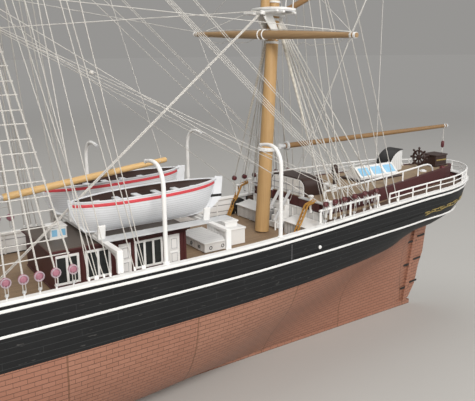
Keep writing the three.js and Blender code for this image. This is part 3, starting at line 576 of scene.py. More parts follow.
# White lines along the side, and the white lining inside the bulwark
stripes = {"upper": (-3.9, 0.62), "lower": (80, 0.5), "proud": 0.1}
around = [[atRail(s, stripes["upper"][0], -stripes["proud"], side) for s in whole] for side in (1, -1)]
run("upper_line", around, 0.12, white, flat=stripes["upper"][1])
around = [[hullPoint(s, stripes["lower"][0], -stripes["proud"], side) for s in whole] for side in (1, -1)]
run("lower_line", around, 0.12, white, flat=stripes["lower"][1])
waist = stationsFrom(hull["poopFront"] + 1, hull["forecastle"] - 1)
run("bulwark_lining", [[atRail(s, -7.1, 1.62, side) for s in waist] for side in (1, -1)], 0.1, liningWhite, flat=5.2)
posts = [[atRail(s, -12.6, 2.2, side), atRail(s, -1.6, 2.2, side)]
         for s in range(-190, 230, 14) for side in (1, -1)]
run("bulwark_stanchions", posts, 0.6, white, round=0)


# Decks, each down to the underside of the main deck
def deckRing(s, top):
    return across([(deckTop(s) - hull["deckThick"], hull["deckIn"]), (top, hull["deckIn"])], s)


waistDeck = stationsFrom(hull["poopFront"] + 0.3, hull["forecastle"] - 0.3)
lofted("main_deck_planks", [deckRing(s, deckTop(s)) for s in waistDeck], mainPlanks, ["main_deck"])
foreDeck = stationsFrom(hull["forecastle"], 338)
lofted("forecastle_planks", [deckRing(s, railTop(s) - 1.8) for s in foreDeck], mainPlanks, ["forecastle_deck"])
for name, x, y, top in (("main_hatch", (22, 50), (-12, 12), 88), ("fore_hatch", (196, 214), (-9, 9), 94)):
    lid = slab((x[0] + 1, x[1] - 1), (y[0] + 1, y[1] - 1), (top - 1, top + 0.5), 0.3)
    battens = [slab((x[0] + 2, x[1] - 2), wide(v, 0.5), (top, top + 1)) for v in (y[0] * 0.55, 0, y[1] * 0.55)]
    walls = slab(x, y, (81.5 if x[0] < 100 else 86.3, top), 0.3)
    joined(name, [walls, lid, *battens], hatchLines)

trunk = {
    "edge": [(-200.3, 105, 36), (-223, 105.4, 34), (-260, 106, 29), (-302, 106.8, 21), (-330, 107.3, 15.5),
             (-350, 107.6, 11), (-357, 107.8, 5)],
    "posts": [(-202, 33.6), (-222, 32.3), (-242, 30), (-262, 27), (-282, 23.4), (-302, 19.8)],
    "sweepDown": [(-309, 18.3, 6.9), (-316, 16.5, 6.4), (-321, 15.2, 4.7), (-324, 14.4, 2.2), (-325, 14.1, -0.2)],
    "rail": 6.9,
}
trunkXs = [row[0] for row in reversed(trunk["edge"])]
trunkZs = [row[1] for row in reversed(trunk["edge"])]


def trunkTop(x):
    return linear(trunkXs, trunkZs, x)


def poopTop(s):
    return min(hull["poopSide"], railTop(s) - 1.8)


aft = stationsFrom(hull["stern"], hull["poopFront"])
# The side decks' darker planks are painted shade from the trunk and bulwark, not a different wood
lofted("poop_side_decks", [deckRing(s, poopTop(s)) for s in aft], sideDeckShadeBrown, ["poop_deck"])
lining = {"foot": 97.3, "underRail": 0.2, "in": (1.6, 1.85)}
around = stationsFrom(hull["stern"], hull["body"][0])
rings = []
for side, span in ((1, around[::-1]), (-1, around)):
    for s in span:
        up, (outer, inner) = railTop(s) - lining["underRail"], lining["in"]
        corners = ((outer, lining["foot"]), (outer, up), (inner, up), (inner, lining["foot"]))
        rings.append([hullPoint(s, z, inset, side) for inset, z in corners])
lofted("stern_lining", rings, maroon)
lofted("poop_trunk", [[(x, half, 93), (x, half, top), (x, -half, top), (x, -half, 93)]
                      for x, top, half in trunk["edge"]], poopPlanks)
margin = [[(x, side * (half - 1.1), top + 0.1) for x, top, half in trunk["edge"]] for side in (1, -1)]
run("trunk_margin", margin, 0.25, maroon, flat=1.1, tilt=lying)
handrail = []
for side in (1, -1):
    top = [(x, side * y, trunkTop(x) + trunk["rail"]) for x, y in trunk["posts"]]
    top += [(x, side * y, trunkTop(x) + lift) for x, y, lift in trunk["sweepDown"]]
    handrail.append(top)
run("handrails", handrail, 0.62, white)
handposts = [[(x, side * y, trunkTop(x) + lift, size) for lift,
              size in ((-0.3, 1.3), (1, 1), (trunk["rail"] - 0.1, 1))]
             for x, y in trunk["posts"] for side in (1, -1)]
run("handrail_posts", handposts, 0.6, white, round=0)

# The stanchion rail round the stern
sternRail = {"from": -250, "inset": 1, "top": 7, "middle": 3.7,
             "posts": [-250, -259, -273.5, -288, -302, -313, -323, -334, -345, -356]}
sternLine = stationsFrom(hull["stern"], sternRail["from"], 4)


def sternRun(lift):
    port = [atRail(s, lift, sternRail["inset"]) for s in reversed(sternLine)]
    return port + [(x, -y, z) for x, y, z in reversed(port[:-1])]


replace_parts(run("stern_rails", [sternRun(sternRail["top"])], 0.52, white), "stern_rail")
run("stern_middle_rail", [sternRun(sternRail["middle"])], 0.36, white)
places = [(s, side) for s in sternRail["posts"] for side in (1, -1)] + [(-366.8, 1)]
stanchions = [[atRail(s, lift, sternRail["inset"], side) for lift in (0, sternRail["top"])] for s, side in places]
run("stern_stanchions", stanchions, 0.55, white, round=0)

# The pin rails abreast the mizzen shrouds
pinRail = {"from": -241, "to": -189.5, "y": 43.4, "lean": 2.6, "height": 7.6, "posts": 3}
fence, fencePosts, pins = [], [], []


def fenceAt(x, lift, side):
    y = pinRail["y"] + (x - pinRail["to"]) * pinRail["lean"] / (pinRail["to"] - pinRail["from"])
    return (x, side * y, railTop(x) + lift)


for side in (1, -1):
    fence.append([fenceAt(x, pinRail["height"], side) for x in (pinRail["from"], pinRail["to"])])
    for i in range(pinRail["posts"]):
        x = pinRail["from"] + 1 + 49.5 * i / (pinRail["posts"] - 1)
        fencePosts.append([fenceAt(x, -0.5, side), fenceAt(x, pinRail["height"], side)])
    for i in range(13):
        x = pinRail["from"] + 3 + i * 3.8
        pins.append([(*fenceAt(x, lift, side), size) for lift,
                     size in ((5, 0.7), (6.6, 0.9), (8, 0.9), (8.6, 1.1), (9.2, 0.7))])
run("pin_rails", fence, 0.55, white, flat=0.5, tilt=lying, round=0)
run("pin_rail_posts", fencePosts, 0.85, white, round=0)
run("belaying_pins", pins, 0.42, greyWhite)
print("hull, decks and rails made")

# Poop fittings: companion house, skylight, hood, wheel and box, binnacle
companion = {"x": (-216.2, -201.4), "half": 17.2, "y": -1, "foot": 105.3, "top": 116.2, "corner": 5.2}


def archRing(x, shrink):
    half = companion["half"] - shrink
    top = companion["top"] - shrink
    middle, corner = companion["y"], companion["corner"]
    ring = [(x, middle - half, companion["foot"]), (x, middle + half, companion["foot"])]
    for side, first in ((1, 0), (-1, 90)):
        for i in range(7):
            turn = math.radians(first + 15 * i)
            y = middle + side * (half - corner) + corner * math.cos(turn)
            ring.append((x, y, top - corner + corner * math.sin(turn)))
    return ring


lofted("companion_house_shell", [archRing(x, 0) for x in companion["x"]], darkBrown, ["companion_house"])
lofted("companion_front", [archRing(x, 0.9) for x in (-201.5, -200.9)], white)
frames = [slab((-201, -200.6), wide(y, 0.2), (105.6, 114.8), 0.08) for y in (-14, -8, -1.5, 5, 11.5)]
frames += [slab((-201, -200.6), (-16.5, 14.5), wide(z, 0.2), 0.08) for z in (107, 110.8)]
joined("companion_panels", frames, printGrey)

bulkhead = [slab((-200, -199.5), (-36, 36), (82.9, 98.6), 0.1)]
bulkhead += [slab((-199.6, -199.1), (y, y + 1), (83.2, 98.4), 0.1) for y in (-36, -26, -16, -7, 6, 16, 26, 35)]
bulkhead += [slab((-199.6, -199.1), (-36, 36), (z, z + 0.8), 0.1) for z in (83.3, 91, 97.6)]
joined("poop_bulkhead", bulkhead, whitePanels)
beams = [slab((-200.6, -198.8), span, (99.5, 104.4), 0.3) for span in ((13.5, 31.5), (-31.5, -13.5))]
joined("poop_beams", beams, maroon)
ledges = [slab((-201.5, -198.4), span, (104.4, 105.3), 0.25) for span in ((13, 36), (-36, -15))]
joined("poop_beam_ledges", ledges, greyWhite)
steps = [slab((-199, -189.5 - i * 1.9), (-5, 4), (84 + i * 3.6, 87.6 + i * 3.6), 0.2) for i in range(5)]
joined("front_steps", steps, white)
run("front_step_rails", [[(-186.5, y, 90), (-199, y, 107.5)] for y in (-5.4, 4.4)], 0.45, greyWhite, flat=0.7)
run("front_step_rail_posts", [[(-187.5, y, 83.5), (-187.5, y, 91.5)] for y in (-5.4, 4.4)], 0.6, white, round=0)

ladders = {"foot": (-183.2, 83.4), "head": (-193.2, 103.6), "edge": (-200.2, 105.6), "treads": 8,
           "sides": ((26, 28.6), (-44.4, -41.8))}
stringers, treads = [], []
for low, high in ladders["sides"]:
    for y in (low, high):
        ends = [(x, y, z) for x, z in (ladders["foot"], ladders["head"], ladders["edge"])]
        stringers += [ends[:2], ends[1:]]
    for i in range(1, ladders["treads"] + 1):
        t = i / (ladders["treads"] + 1)
        x, z = between(ladders["foot"], ladders["head"], t)
        treads.append([(x, low, z), (x, high, z)])
run("ladder_stringers", stringers, 0.24, ladderWood, flat=0.5)
run("ladder_treads", treads, 0.16, ladderWood, flat=0.6, tilt=lying)
posts = [upright(-199, y, (97.4, 1), (107, 1), (107.3, 1.9), (108.2, 1.9), (108.5, 0.6))
         for y in (24.6, 38.2, 42.4, -40.2)]
posts.append(upright(-201.5, -31, (104.9, 1.4), (106, 1), (111.6, 1), (112.1, 3.4), (113, 3.2), (113.3, 1)))
run("ladder_head_posts", posts, 0.9, white, round=2)
winch = (-191.4, -43, 90)
joined("deck_winch", [drum(winch, 5, 5, "Y", 22, 0.8), drum(winch, 3.6, 6.6, "Y", 18, 0.4),
                      slab((-196, -187), (-45.4, -44.8), (82.8, 93), 0.3)], strapBlack)

skylight = {
    "x": (-295, -258.5), "slope": math.degrees(math.atan2(6.2, 6.6)), "glassY": 4.3, "glassZ": 112,
    "section": [(7.4, 107.1), (7.6, 108.9), (1, 115.1), (-1, 115.1), (-7.6, 108.9), (-7.4, 107.1)],
    # first x and pitch, how many, reach aft and forward of it, half width, z, eased edge
    "panes": (-289.4, 12.2, 3, (-4, 4.9), 3.3, (111.95, 112.25), 0.05),
    "ribs": (-295.2, 12, 4, (0.4, 1.5), 4.4, (111.9, 112.55), 0.1),
}
lofted("skylight_frame", [[(x, y, z) for y, z in skylight["section"]] for x in skylight["x"]], white, ["skylight"],
       angle=20)
for kind, finish in (("panes", bluePane), ("ribs", white)):
    first, pitch, count, (aftward, forward), half, z, edge = skylight[kind]
    strips = []
    for side in (1, -1):
        y = side * skylight["glassY"]
        for i in range(count):
            x = first + i * pitch
            strip = slab((x + aftward, x + forward), wide(y, half), z, edge)
            strips.append(turned(strip, -side * skylight["slope"], "X", (x, y, skylight["glassZ"])))
    joined("skylight_" + kind, strips, finish)
joined("skylight_foot", [slab((-295.6, -256.6), (-11.4, 11.4), (106.2, 107.5), 0.3)], darkBrown)

hood = {"aft": -312, "fore": -298.2, "y": (-16, -4), "base": 107.2, "spring": 107.8, "reach": (13.6, 14.2)}
profile = [(hood["aft"] + hood["reach"][0] * math.cos(turn), hood["spring"] + hood["reach"][1] * math.sin(turn))
           for turn in [math.radians(i * 7.5) for i in range(13)]]
outline = [(hood["fore"], hood["base"]), *profile, (hood["aft"], hood["base"])]
lofted("hood_sides", [[(x, y, z) for x, z in outline] for y in hood["y"]], whiteStaves, ["companion_hood"], angle=20)
roof = [(x + (x - hood["aft"]) * 0.03, sum(hood["y"]) / 2, z + 0.3) for x, z in profile]
run("hood_roof", [roof], 0.3, strapBlack, flat=6.4, tilt=lying)
leaves = [slab((-312.5, -311.9), span, (107.4, 121), 0.1) for span in ((-15, -10.2), (-9.8, -5))]
joined("hood_doors", leaves, white)

wheel = {"centre": (-326, 0, 115.2), "rim": 5.2, "spokes": 8, "shaft": (-332, 0, 115.2),
         "spoke": [(0, 1), (2.2, 0.8), (3.8, 1.3), (5.1, 0.8), (6, 0.7), (6.7, 1.3), (7.6, 1.1), (8, 0.4)]}
spot = [value * mm for value in wheel["centre"]]
bpy.ops.mesh.primitive_torus_add(major_radius=wheel["rim"] * mm, minor_radius=0.7 * mm, major_segments=32,
                                 minor_segments=8,
                                 location=spot, rotation=(0, math.pi / 2, 0))
rim = bpy.context.active_object
rim.scale = (1, 1, 1.5)
bpy.ops.object.shade_smooth()
hub = [drum(wheel["centre"], 1.8, 2.6, "X", 18, 0.4), drum(wheel["shaft"], 0.8, 11, "X", 12, 0.2)]
wheelRim = joined("wheel_rim", [rim, *hub], darkBrown, "wheel")
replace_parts(wheelRim, "steering_wheel")
spokes = []
for i in range(wheel["spokes"]):
    turn = 2 * math.pi * i / wheel["spokes"]
    x, y, z = wheel["centre"]
    spokes.append([(x, d * math.cos(turn), z + d * math.sin(turn), r) for d, r in wheel["spoke"]])
run("wheel_spokes", spokes, 0.68, darkBrown, "wheel")
boxParts = [slab((-351, -338.2), (-6, 6), (108, 116), 0.4), slab((-351.6, -337.4), (-6.6, 6.6), (115.5, 116.6), 0.4),
            slab((-351.5, -337.8), (-6.5, 6.5), (107.4, 109), 0.3)]
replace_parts(joined("wheel_case", boxParts, darkBrown), "wheel_box")
run("wheel_case_line", [[(-350, side * 6.05, 112.4), (-339, side * 6.05, 112.4)] for side in (1, -1)], 0.12, gilt,
    flat=0.35)

binnacle = upright(-230, 12, (105.2, 2.2), (106.4, 2.2), (107, 1.3), (116, 1.2), (117, 1.9), (120, 1.9), (121.6, 1.2),
                   (122.2, 0.4))
run("binnacle", [binnacle], 1.1, darkBrown, round=2)
joined("deck_bitts", [slab((-228, -224), (7.4, 9), (105.2, 110), 0.3),
                      slab((-228, -224), (15, 16.6), (105.2, 110), 0.3),
                      slab((-227.3, -225), (6, 18), (108, 109.2), 0.3),
                      drum((-318, 11, 107.6), 2.6, 0.9, "Z", 20, 0.3),
                      drum((-318, 11, 108.3), 1.5, 0.8, "Z", 16, 0.3)], white)
joined("deck_scuttle", [drum((-340, 11, 107.8), 2.2, 1, "Z", 20, 0.3),
                        drum((-340, 11, 108.5), 1.5, 0.7, "Z", 16, 0.2)], deadeyeRed)

# Hen coops and the after hatch
coops = []
lids = []
for y0, y1 in ((12, 38), (-40, -12)):
    coops.append(slab((-198.4, -188.4), (y0, y1), (83.6, 91.6), 0.2))
    lid = slab((-199, -187.2), (y0 - 0.5, y1 + 0.5), (92.1, 92.8), 0.2)
    lids.append(turned(lid, 9, "Y", (-193, y0, 92.4)))
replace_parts(joined("coop_boxes", coops, coopBars), "hen_coop_port", "hen_coop_starboard")
joined("coop_lids", lids, white)
coopFeet = [slab((x, x + 1), (y, y + 1), (82.6, 84.2), 0.1) for x in (-198, -189.6)
            for y in (12.2, 24, 36.8, -39.8, -26, -13.2)]
joined("coop_feet", coopFeet, white)
hatch = [slab((-145, -129.2), (-15, 15), (82.5, 87.6), 0.25), slab((-159, -145), (-9, 12), (82.5, 91.8), 0.25),
         slab((-145.6, -128.6), (-15.6, 15.6), (87.2, 88.3), 0.3),
         slab((-159.5, -144.5), (-9.5, 12.5), (91.4, 92.5), 0.3),
         slab((-157, -148), (-5, 7), (92, 95.4), 0.3), slab((-157.5, -147.5), (-5.5, 7.5), (95, 96), 0.3)]
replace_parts(joined("hatch_boxes", hatch, hatchLines), "after_hatch")
rings = [[(x + a, side * y, z + b) for a, b in circle(0.9, 10)]
         for x, y, z in ((-141, 15.2, 85), (-133, 15.2, 85), (-156, 9.2, 89.6)) for side in (1, -1)]
rings += [[(-128.9, y + a, 85 + b) for a, b in circle(0.9, 10)] for y in (-9, 0, 9)]
run("hatch_rings", rings, 0.2, strapBlack, round=0, closed=True)

# The deck houses, with pilasters, windows and doors on both sides
houses = {
    "after": {"x": (-113, -41), "half": 22.5, "foot": 82.5, "eaves": 101.6, "roof": 103.2, "over": 1.6,
              "windows": [(-54, -41.8), (-70, -57), (-99, -83)], "doors": [(-81, -74.5), (-109, -102)],
              "glass": (86, 98.6)},
    "fore": {"x": (68, 134), "half": 19, "foot": 84.8, "eaves": 104.5, "roof": 106.2, "over": 1.6,
             "windows": [(82, 94), (98, 110)], "doors": [(71, 78), (118, 126)], "glass": (89, 101.5)},
}
for name, house in houses.items():
    low, high = house["x"]
    half, z0, z1 = house["half"], house["foot"], house["eaves"]
    walls = [slab((low, high), (-half, half), (z0, z1 + 0.4), 0.3)]
    openings = sorted(house["windows"] + house["doors"])
    pilasters = [low + 0.8, high - 0.8, *[(a[1] + b[0]) / 2 for a, b in zip(openings, openings[1:])]]
    walls += [slab(wide(x, 0.7), (-half - 0.7, half + 0.7), (z0, z1), 0.2) for x in pilasters]
    walls += [slab((low - 0.6, high + 0.6), (-half - 0.6, half + 0.6), (z, z + 1.1), 0.2) for z in (z0, z1 - 1)]
    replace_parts(joined(name + "_house_walls", walls, maroon), name + "_house")
    over = house["over"]
    roof = [slab((low - over, high + over), (-half - over, half + over), (z1, house["roof"]), 0.4)]
    joined(name + "_house_roof", roof, slateBrown)
    rimLow, rimHigh = z1 + 0.2, house["roof"] - 0.3
    rims = [slab((low - over - 0.2, high + over + 0.2), wide(s * (half + over), 0.3), (rimLow, rimHigh), 0.1)
            for s in (1, -1)]
    rims += [slab(wide(x, 0.3), (-half - over, half + over), (rimLow, rimHigh), 0.1)
             for x in (low - over, high + over)]
    joined(name + "_house_roof_edge", rims, maroon)
    frames, glass, doors = [], [], []
    for side in (1, -1):
        y = side * half
        low2, high2 = house["glass"]
        for a, b in house["windows"]:
            frames += [slab((a, b), wide(y, 0.5), (z, z + 1.2), 0.12) for z in (low2 - 1, high2)]
            count = 3 if b - a > 14 else 2
            for i in range(count + 1):
                x = a + 0.6 + (b - a - 1.2) * i / count
                frames.append(slab(wide(x, 0.6), wide(y, 0.55), (low2 - 0.8, high2 + 1), 0.12))
            glass.append(slab((a + 0.4, b - 0.4), wide(y, 0.25), (low2 - 0.5, high2 + 0.5), 0.05))
        for a, b in house["doors"]:
            doors.append(slab((a, b), wide(y, 0.4), (z0 + 0.6, high2 + 1.2), 0.15))
            doors += [slab((a + 1, b - 1), wide(y, 0.75), pair, 0.25) for pair in
                      ((z0 + 1.8, z0 + 8), (z0 + 9, high2 - 0.2))]
    joined(name + "_house_frames", frames, white)
    joined(name + "_house_glass", glass, darkPane)
    joined(name + "_house_doors", doors, white)
    outlines = []
    for side in (1, -1):
        y = side * (half + 0.82)
        for a, b in house["doors"]:
            for low3, high3 in ((z0 + 2.6, z0 + 7.2), (z0 + 9.8, high2 - 1)):
                outlines.append([(a + 1.9, y, low3), (b - 1.9, y, low3), (b - 1.9, y, high3), (a + 1.9, y, high3)])
    run(name + "_house_door_lines", outlines, 0.16, printGrey, round=0, closed=True)
joined("roof_light_frame", [slab((-54.6, -46), (-3, 5.5), (102.9, 109.2), 0.3),
                            slab((-55, -45.6), (-3.4, 5.9), (108.8, 109.6), 0.3)], white)
lights = [slab(wide(x, 1.35), (1.25 + side * 4.1, 1.25 + side * 4.4), (104.5, 107.9), 0.08) for x in (-52.4, -48.2)
          for side in (1, -1)]
joined("roof_light_panes", lights, bluePane)
chimney = upright(-97, -4, (103, 1.4), (108, 1.4), (108.2, 2), (109, 2))
run("galley_pipe", [chimney], 1, strapBlack, round=2)
joined("fore_chocks", [slab(wide(x, 1), wide(side * 11.5, 7), (105.9, 109.2), 0.3) for x in (82, 114)
                       for side in (1, -1)], white)

# Boats: grids bent to a boat's lines, with clinker strakes, a dark lining, a red line and white thwarts
boats = {
    "aft": {"x": -91, "y": 21, "keel": 108.3, "length": 84, "half": 11, "depth": 16.5},
    "fore": {"x": 98, "y": 11.5, "keel": 109.3, "length": 58, "half": 8.6, "depth": 13.5},
}
boatLines = {"rake": 0.12, "strakes": 9, "step": 0.06, "thwart": 0.775, "over": 0.6, "fall": 1, "bow": 0.935,
             "bowRake": 0.16}
boatAlong = [math.copysign(abs(i / 24) ** 0.8, i) * 0.999 for i in range(-24, 25)]
boatUp = [min(1, j / 32 + (0.001 if j % 4 == 0 else 0)) for j in range(33)]
boatSection = [-v for v in reversed(boatUp)] + boatUp[1:]


# t runs from stern to stem; v from the keel up to a gunwale, 1 to port and -1 to starboard
def boatPoint(boat, t, v, out=0.0):
    lift = abs(v)
    full = max(0.9, boat["half"] * (1 - abs(t) ** 2.4) ** 0.75)
    rise = boat["depth"] * (0.06 if t > 0 else 0.22) * abs(t) ** 8
    top = boat["depth"] + boatLines["over"] - boatLines["fall"] * t
    width = full * (0.1 + 0.9 * (1 - (1 - min(1, lift)) ** 2.35)) + out
    width += boatLines["step"] * (1 - (lift * boatLines["strakes"]) % 1) * min(1, 8 * lift)
    reach = boat["length"] / 2 * (1 - boatLines["rake"] * (1 - lift))
    if t > 0:
        reach = boat["length"] / 2 * (boatLines["bow"] - boatLines["bowRake"] * (1 - min(1, lift)) ** 2)
    return (boat["x"] + t * reach, math.copysign(max(0.05, width), v), boat["keel"] + rise + (top - rise) * lift)


def boatSkin(name, points, thickness, finish):
    count = len(boatSection)
    faces = [[r * count + i, r * count + i + 1, (r + 1) * count + i + 1, (r + 1) * count + i]
             for r in range(len(boatAlong) - 1) for i in range(count - 1)]
    skin = meshed(name, points, faces)
    wall = skin.modifiers.new("wall", "SOLIDIFY")
    wall.thickness = thickness * mm
    wall.offset = 0
    bpy.ops.object.modifier_apply(modifier="wall")
    bpy.ops.object.shade_smooth_by_angle(angle=math.radians(24))
    return joined(name, [skin], finish)


for kind, boat in boats.items():
    for side, label in sideNames:
        def shifted(point):
            return (point[0], point[1] + side * boat["y"], point[2])

        def edgeAt(t, v):
            x, y, z = boatPoint(boat, t, v)
            return (x + math.copysign(0.3, t), side * boat["y"], z)

        base = "boat_%s_%s" % (kind, label)
        shell = boatSkin(base + "_shell", [shifted(boatPoint(boat, t, v, -0.2)) for t in boatAlong
                                           for v in boatSection],
                         0.35, boatPlanks)
        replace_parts(shell, base)
        boatSkin(base + "_lining", [shifted(boatPoint(boat, t, v * 0.985, -0.85)) for t in boatAlong
                                    for v in boatSection],
                 0.2, darkBrown)
        gunwale = [[shifted(boatPoint(boat, t, v, -0.35)) for t in boatAlong] for v in (1, -1)]
        run(base + "_gunwale", gunwale, 0.25, boatWhite, flat=0.6, tilt=lying)
        redLine = [[shifted(boatPoint(boat, t * 0.985, v, 0.05)) for t in boatAlong] for v in (0.89, -0.89)]
        run(base + "_red_line", redLine, 0.16, boatRed, flat=0.62)
        floorZ = boat["keel"] + boat["depth"] * 0.22
        boards = [slab(wide(boat["x"], boat["length"] * 0.27),
                       wide(side * boat["y"] + y, 1), (floorZ, floorZ + 0.5), 0.1) for y in (-2.4, 0, 2.4)]
        joined(base + "_boards", boards, darkBrown)
        thwarts = []
        for t in (-0.75, -0.49, -0.22, 0.05, 0.33, 0.6):
            x, reach, z = boatPoint(boat, t, boatLines["thwart"], -0.9)
            thwarts.append(slab(wide(x, 1.6), wide(side * boat["y"], reach), (z, z + 0.9), 0.15))
        joined(base + "_thwarts", thwarts, boatWhite)
        line = [edgeAt(1, v) for v in (1.08, 1, 0.6, 0.3, 0)]
        line += [edgeAt(t, 0) for t in (0.93, 0.85, 0.75, 0.6, 0.3, 0, -0.3, -0.6, -0.75, -0.85, -0.93)]
        line += [edgeAt(-1, v) for v in (0, 0.3, 0.6, 1, 1.08)]
        run(base + "_keel_and_posts", [line], 0.4, boatWhite, flat=0.3)
        if kind == "aft":
            tail = boat["x"] - boat["length"] / 2
            outline = [(tail - 4.6, 127.2), (tail - 0.2, 127.4), (tail + 1.6, 118), (tail + 5, 110.2),
                       (tail + 3.6, 109.6), (tail - 3.4, 115)]
            lofted(base + "_rudder", [[(x, side * boat["y"] + y, z) for x, z in outline] for y in (-0.45, 0.45)],
                   boatWhite, angle=20)
            run(base + "_rudder_strap", [[(tail + 4, side * boat["y"], 117.2),
                                          (tail - 3.7, side * boat["y"], 116.8)]], 0.62, strapBlack, flat=0.3)

# Skids with planked gangways, chocks and knees
skids = {"x": (-123, -64), "across": (-49.8, 49.8), "height": (104.2, 106), "ends": 48.8}
timbers = []
for x in skids["x"]:
    timbers.append(slab(wide(x, 1.5), skids["across"], skids["height"], 0.2))
    for side in (1, -1):
        y = side * skids["ends"]
        timbers.append(slab(wide(x, 1.5), wide(y, 1), (railTop(x) + 0.1, 104.7), 0.2))
        inner = side * boats["aft"]["y"]
        timbers.append(slab(wide(x, 1), wide(inner, 6), (105.5, 107.6), 0.2))
        for edge in (-6.4, 6.4):
            cheek = slab(wide(x, 1.9), wide(inner + edge, 0.7), (105.8, 113), 0.2)
            timbers.append(turned(cheek, -10 * (1 if edge > 0 else -1), "X", (x, inner + edge, 106)))
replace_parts(joined("skid_timbers", timbers, white), "boat_skids")
planks = []
for side in (1, -1):
    for i in range(4):
        y = side * (25.6 + i * 2)
        planks.append(slab((-137, -62.6), wide(y, 0.82), (105.2, 106.1), 0.12))
joined("gangway_planks", planks, greyWhite)
knees = []
for x in skids["x"]:
    for side in (1, -1):
        knees.append([(x, side * 49, railTop(x) + 0.2), (x, side * 47.6, 99.8), (x, side * 44.5, 103),
                      (x, side * 38, 104)])
run("skid_knees", knees, 0.5, white, flat=1)

# Davits, curved in over the boats, with an eye at each tip
bends, blocks = [], []
for x, top in ((-87, 143.2), (-156, 144.8)):
    for side in (1, -1):
        base = railTop(x)
        y = [50, 50, 50, 50, 50, 49.7, 48.7, 46.9, 44.4, 41.4, 38.2, 35, 32.4]
        z = [base, base + 1, base + 1.2, 115, top - 11, top - 8, top - 5.2, top - 2.7, top - 0.9, top - 0.1, top,
             top - 0.3, top - 0.8]
        thick = [1.5, 1.5, 1, 1, 1, 1, 0.98, 0.95, 0.92, 0.9, 0.86, 0.82, 0.8]
        bends.append([(x, side * a, b, c) for a, b, c in zip(y, z, thick)])
        blocks.append([(x, side * (32.6 - d), top - 0.8 - d * 0.2, size) for d,
                       size in ((0, 0.6), (0.2, 1), (1, 1), (1.3, 0.5))])
arms = run("davit_arms", bends, 1.1, white, round=3)
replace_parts(arms, "davit_fore_port", "davit_fore_starboard", "davit_aft_port", "davit_aft_starboard")
run("davit_tips", blocks, 1.1, greyWhite, round=2)
print("houses, boats and davits made")

# Masts and yards, laid out along each raked mast from its foot
masts = {
    "mizzen": {"x": -180, "rake": 3.8, "radius": 4.5, "top": 132, "lowerCap": 168, "crosstrees": 212,
               "topmastCap": 246, "truck": 356},
    "main": {"x": -10, "rake": 3.5, "radius": 5, "top": 162, "lowerCap": 204, "crosstrees": 268,
             "topmastCap": 304, "truck": 444},
    "fore": {"x": 180, "rake": 3, "radius": 4.9, "top": 152, "lowerCap": 193, "crosstrees": 254,
             "topmastCap": 289, "truck": 415},
}
# Yards: name, height above the mast's foot, half length, greatest radius
yards = {
    "mizzen": [("crossjack_yard", 119, 72, 2.5), ("mizzen_lower_topsail_yard", 161, 64, 1.9),
               ("mizzen_upper_topsail_yard", 194, 60, 1.9), ("mizzen_topgallant_yard", 262, 47, 1.5),
               ("mizzen_royal_yard", 306, 38, 1.2)],
    "main": [("main_yard", 147, 119, 3), ("main_lower_topsail_yard", 199, 103, 2.4),
             ("main_upper_topsail_yard", 237, 97, 2.4), ("main_topgallant_yard", 318, 73, 1.8),
             ("main_royal_yard", 370, 58, 1.4)],
    "fore": [("fore_yard", 138, 119, 3), ("fore_lower_topsail_yard", 188, 103, 2.4),
             ("fore_upper_topsail_yard", 225, 97, 2.4), ("fore_topgallant_yard", 301, 73, 1.8),
             ("fore_royal_yard", 351, 58, 1.4)],
}
braceTurn = math.radians(3.9)
crossjackDip = math.radians(1.5)


# Where a point of the upright mast lies once the mast is raked
def onMast(name, ahead, out, up):
    mast = masts[name]
    rake = math.radians(mast["rake"])
    foot = deckTop(mast["x"]) + 0.3 + mast["radius"] * math.sin(rake) + 0.1
    return (mast["x"] + ahead * math.cos(rake) - up * math.sin(rake), out,
            foot + up * math.cos(rake) + ahead * math.sin(rake))


def rakeTo(name, item):
    mast = masts[name]
    rake = math.radians(mast["rake"])
    place = Matrix.Translation(Vector(onMast(name, 0, 0, 0)) * mm) @ Matrix.Rotation(-rake, 4, "Y")
    item.matrix_world = place @ item.matrix_world
    return item


def alongYard(name, centre, distance, drop=0.0, ahead=0.0):
    x = centre[0] - distance * math.sin(braceTurn) + ahead
    dip = crossjackDip if (name, centre[1]) == ("mizzen", 119) else 0
    return onMast(name, x, distance * math.cos(braceTurn), centre[1] + drop - distance * math.sin(dip))


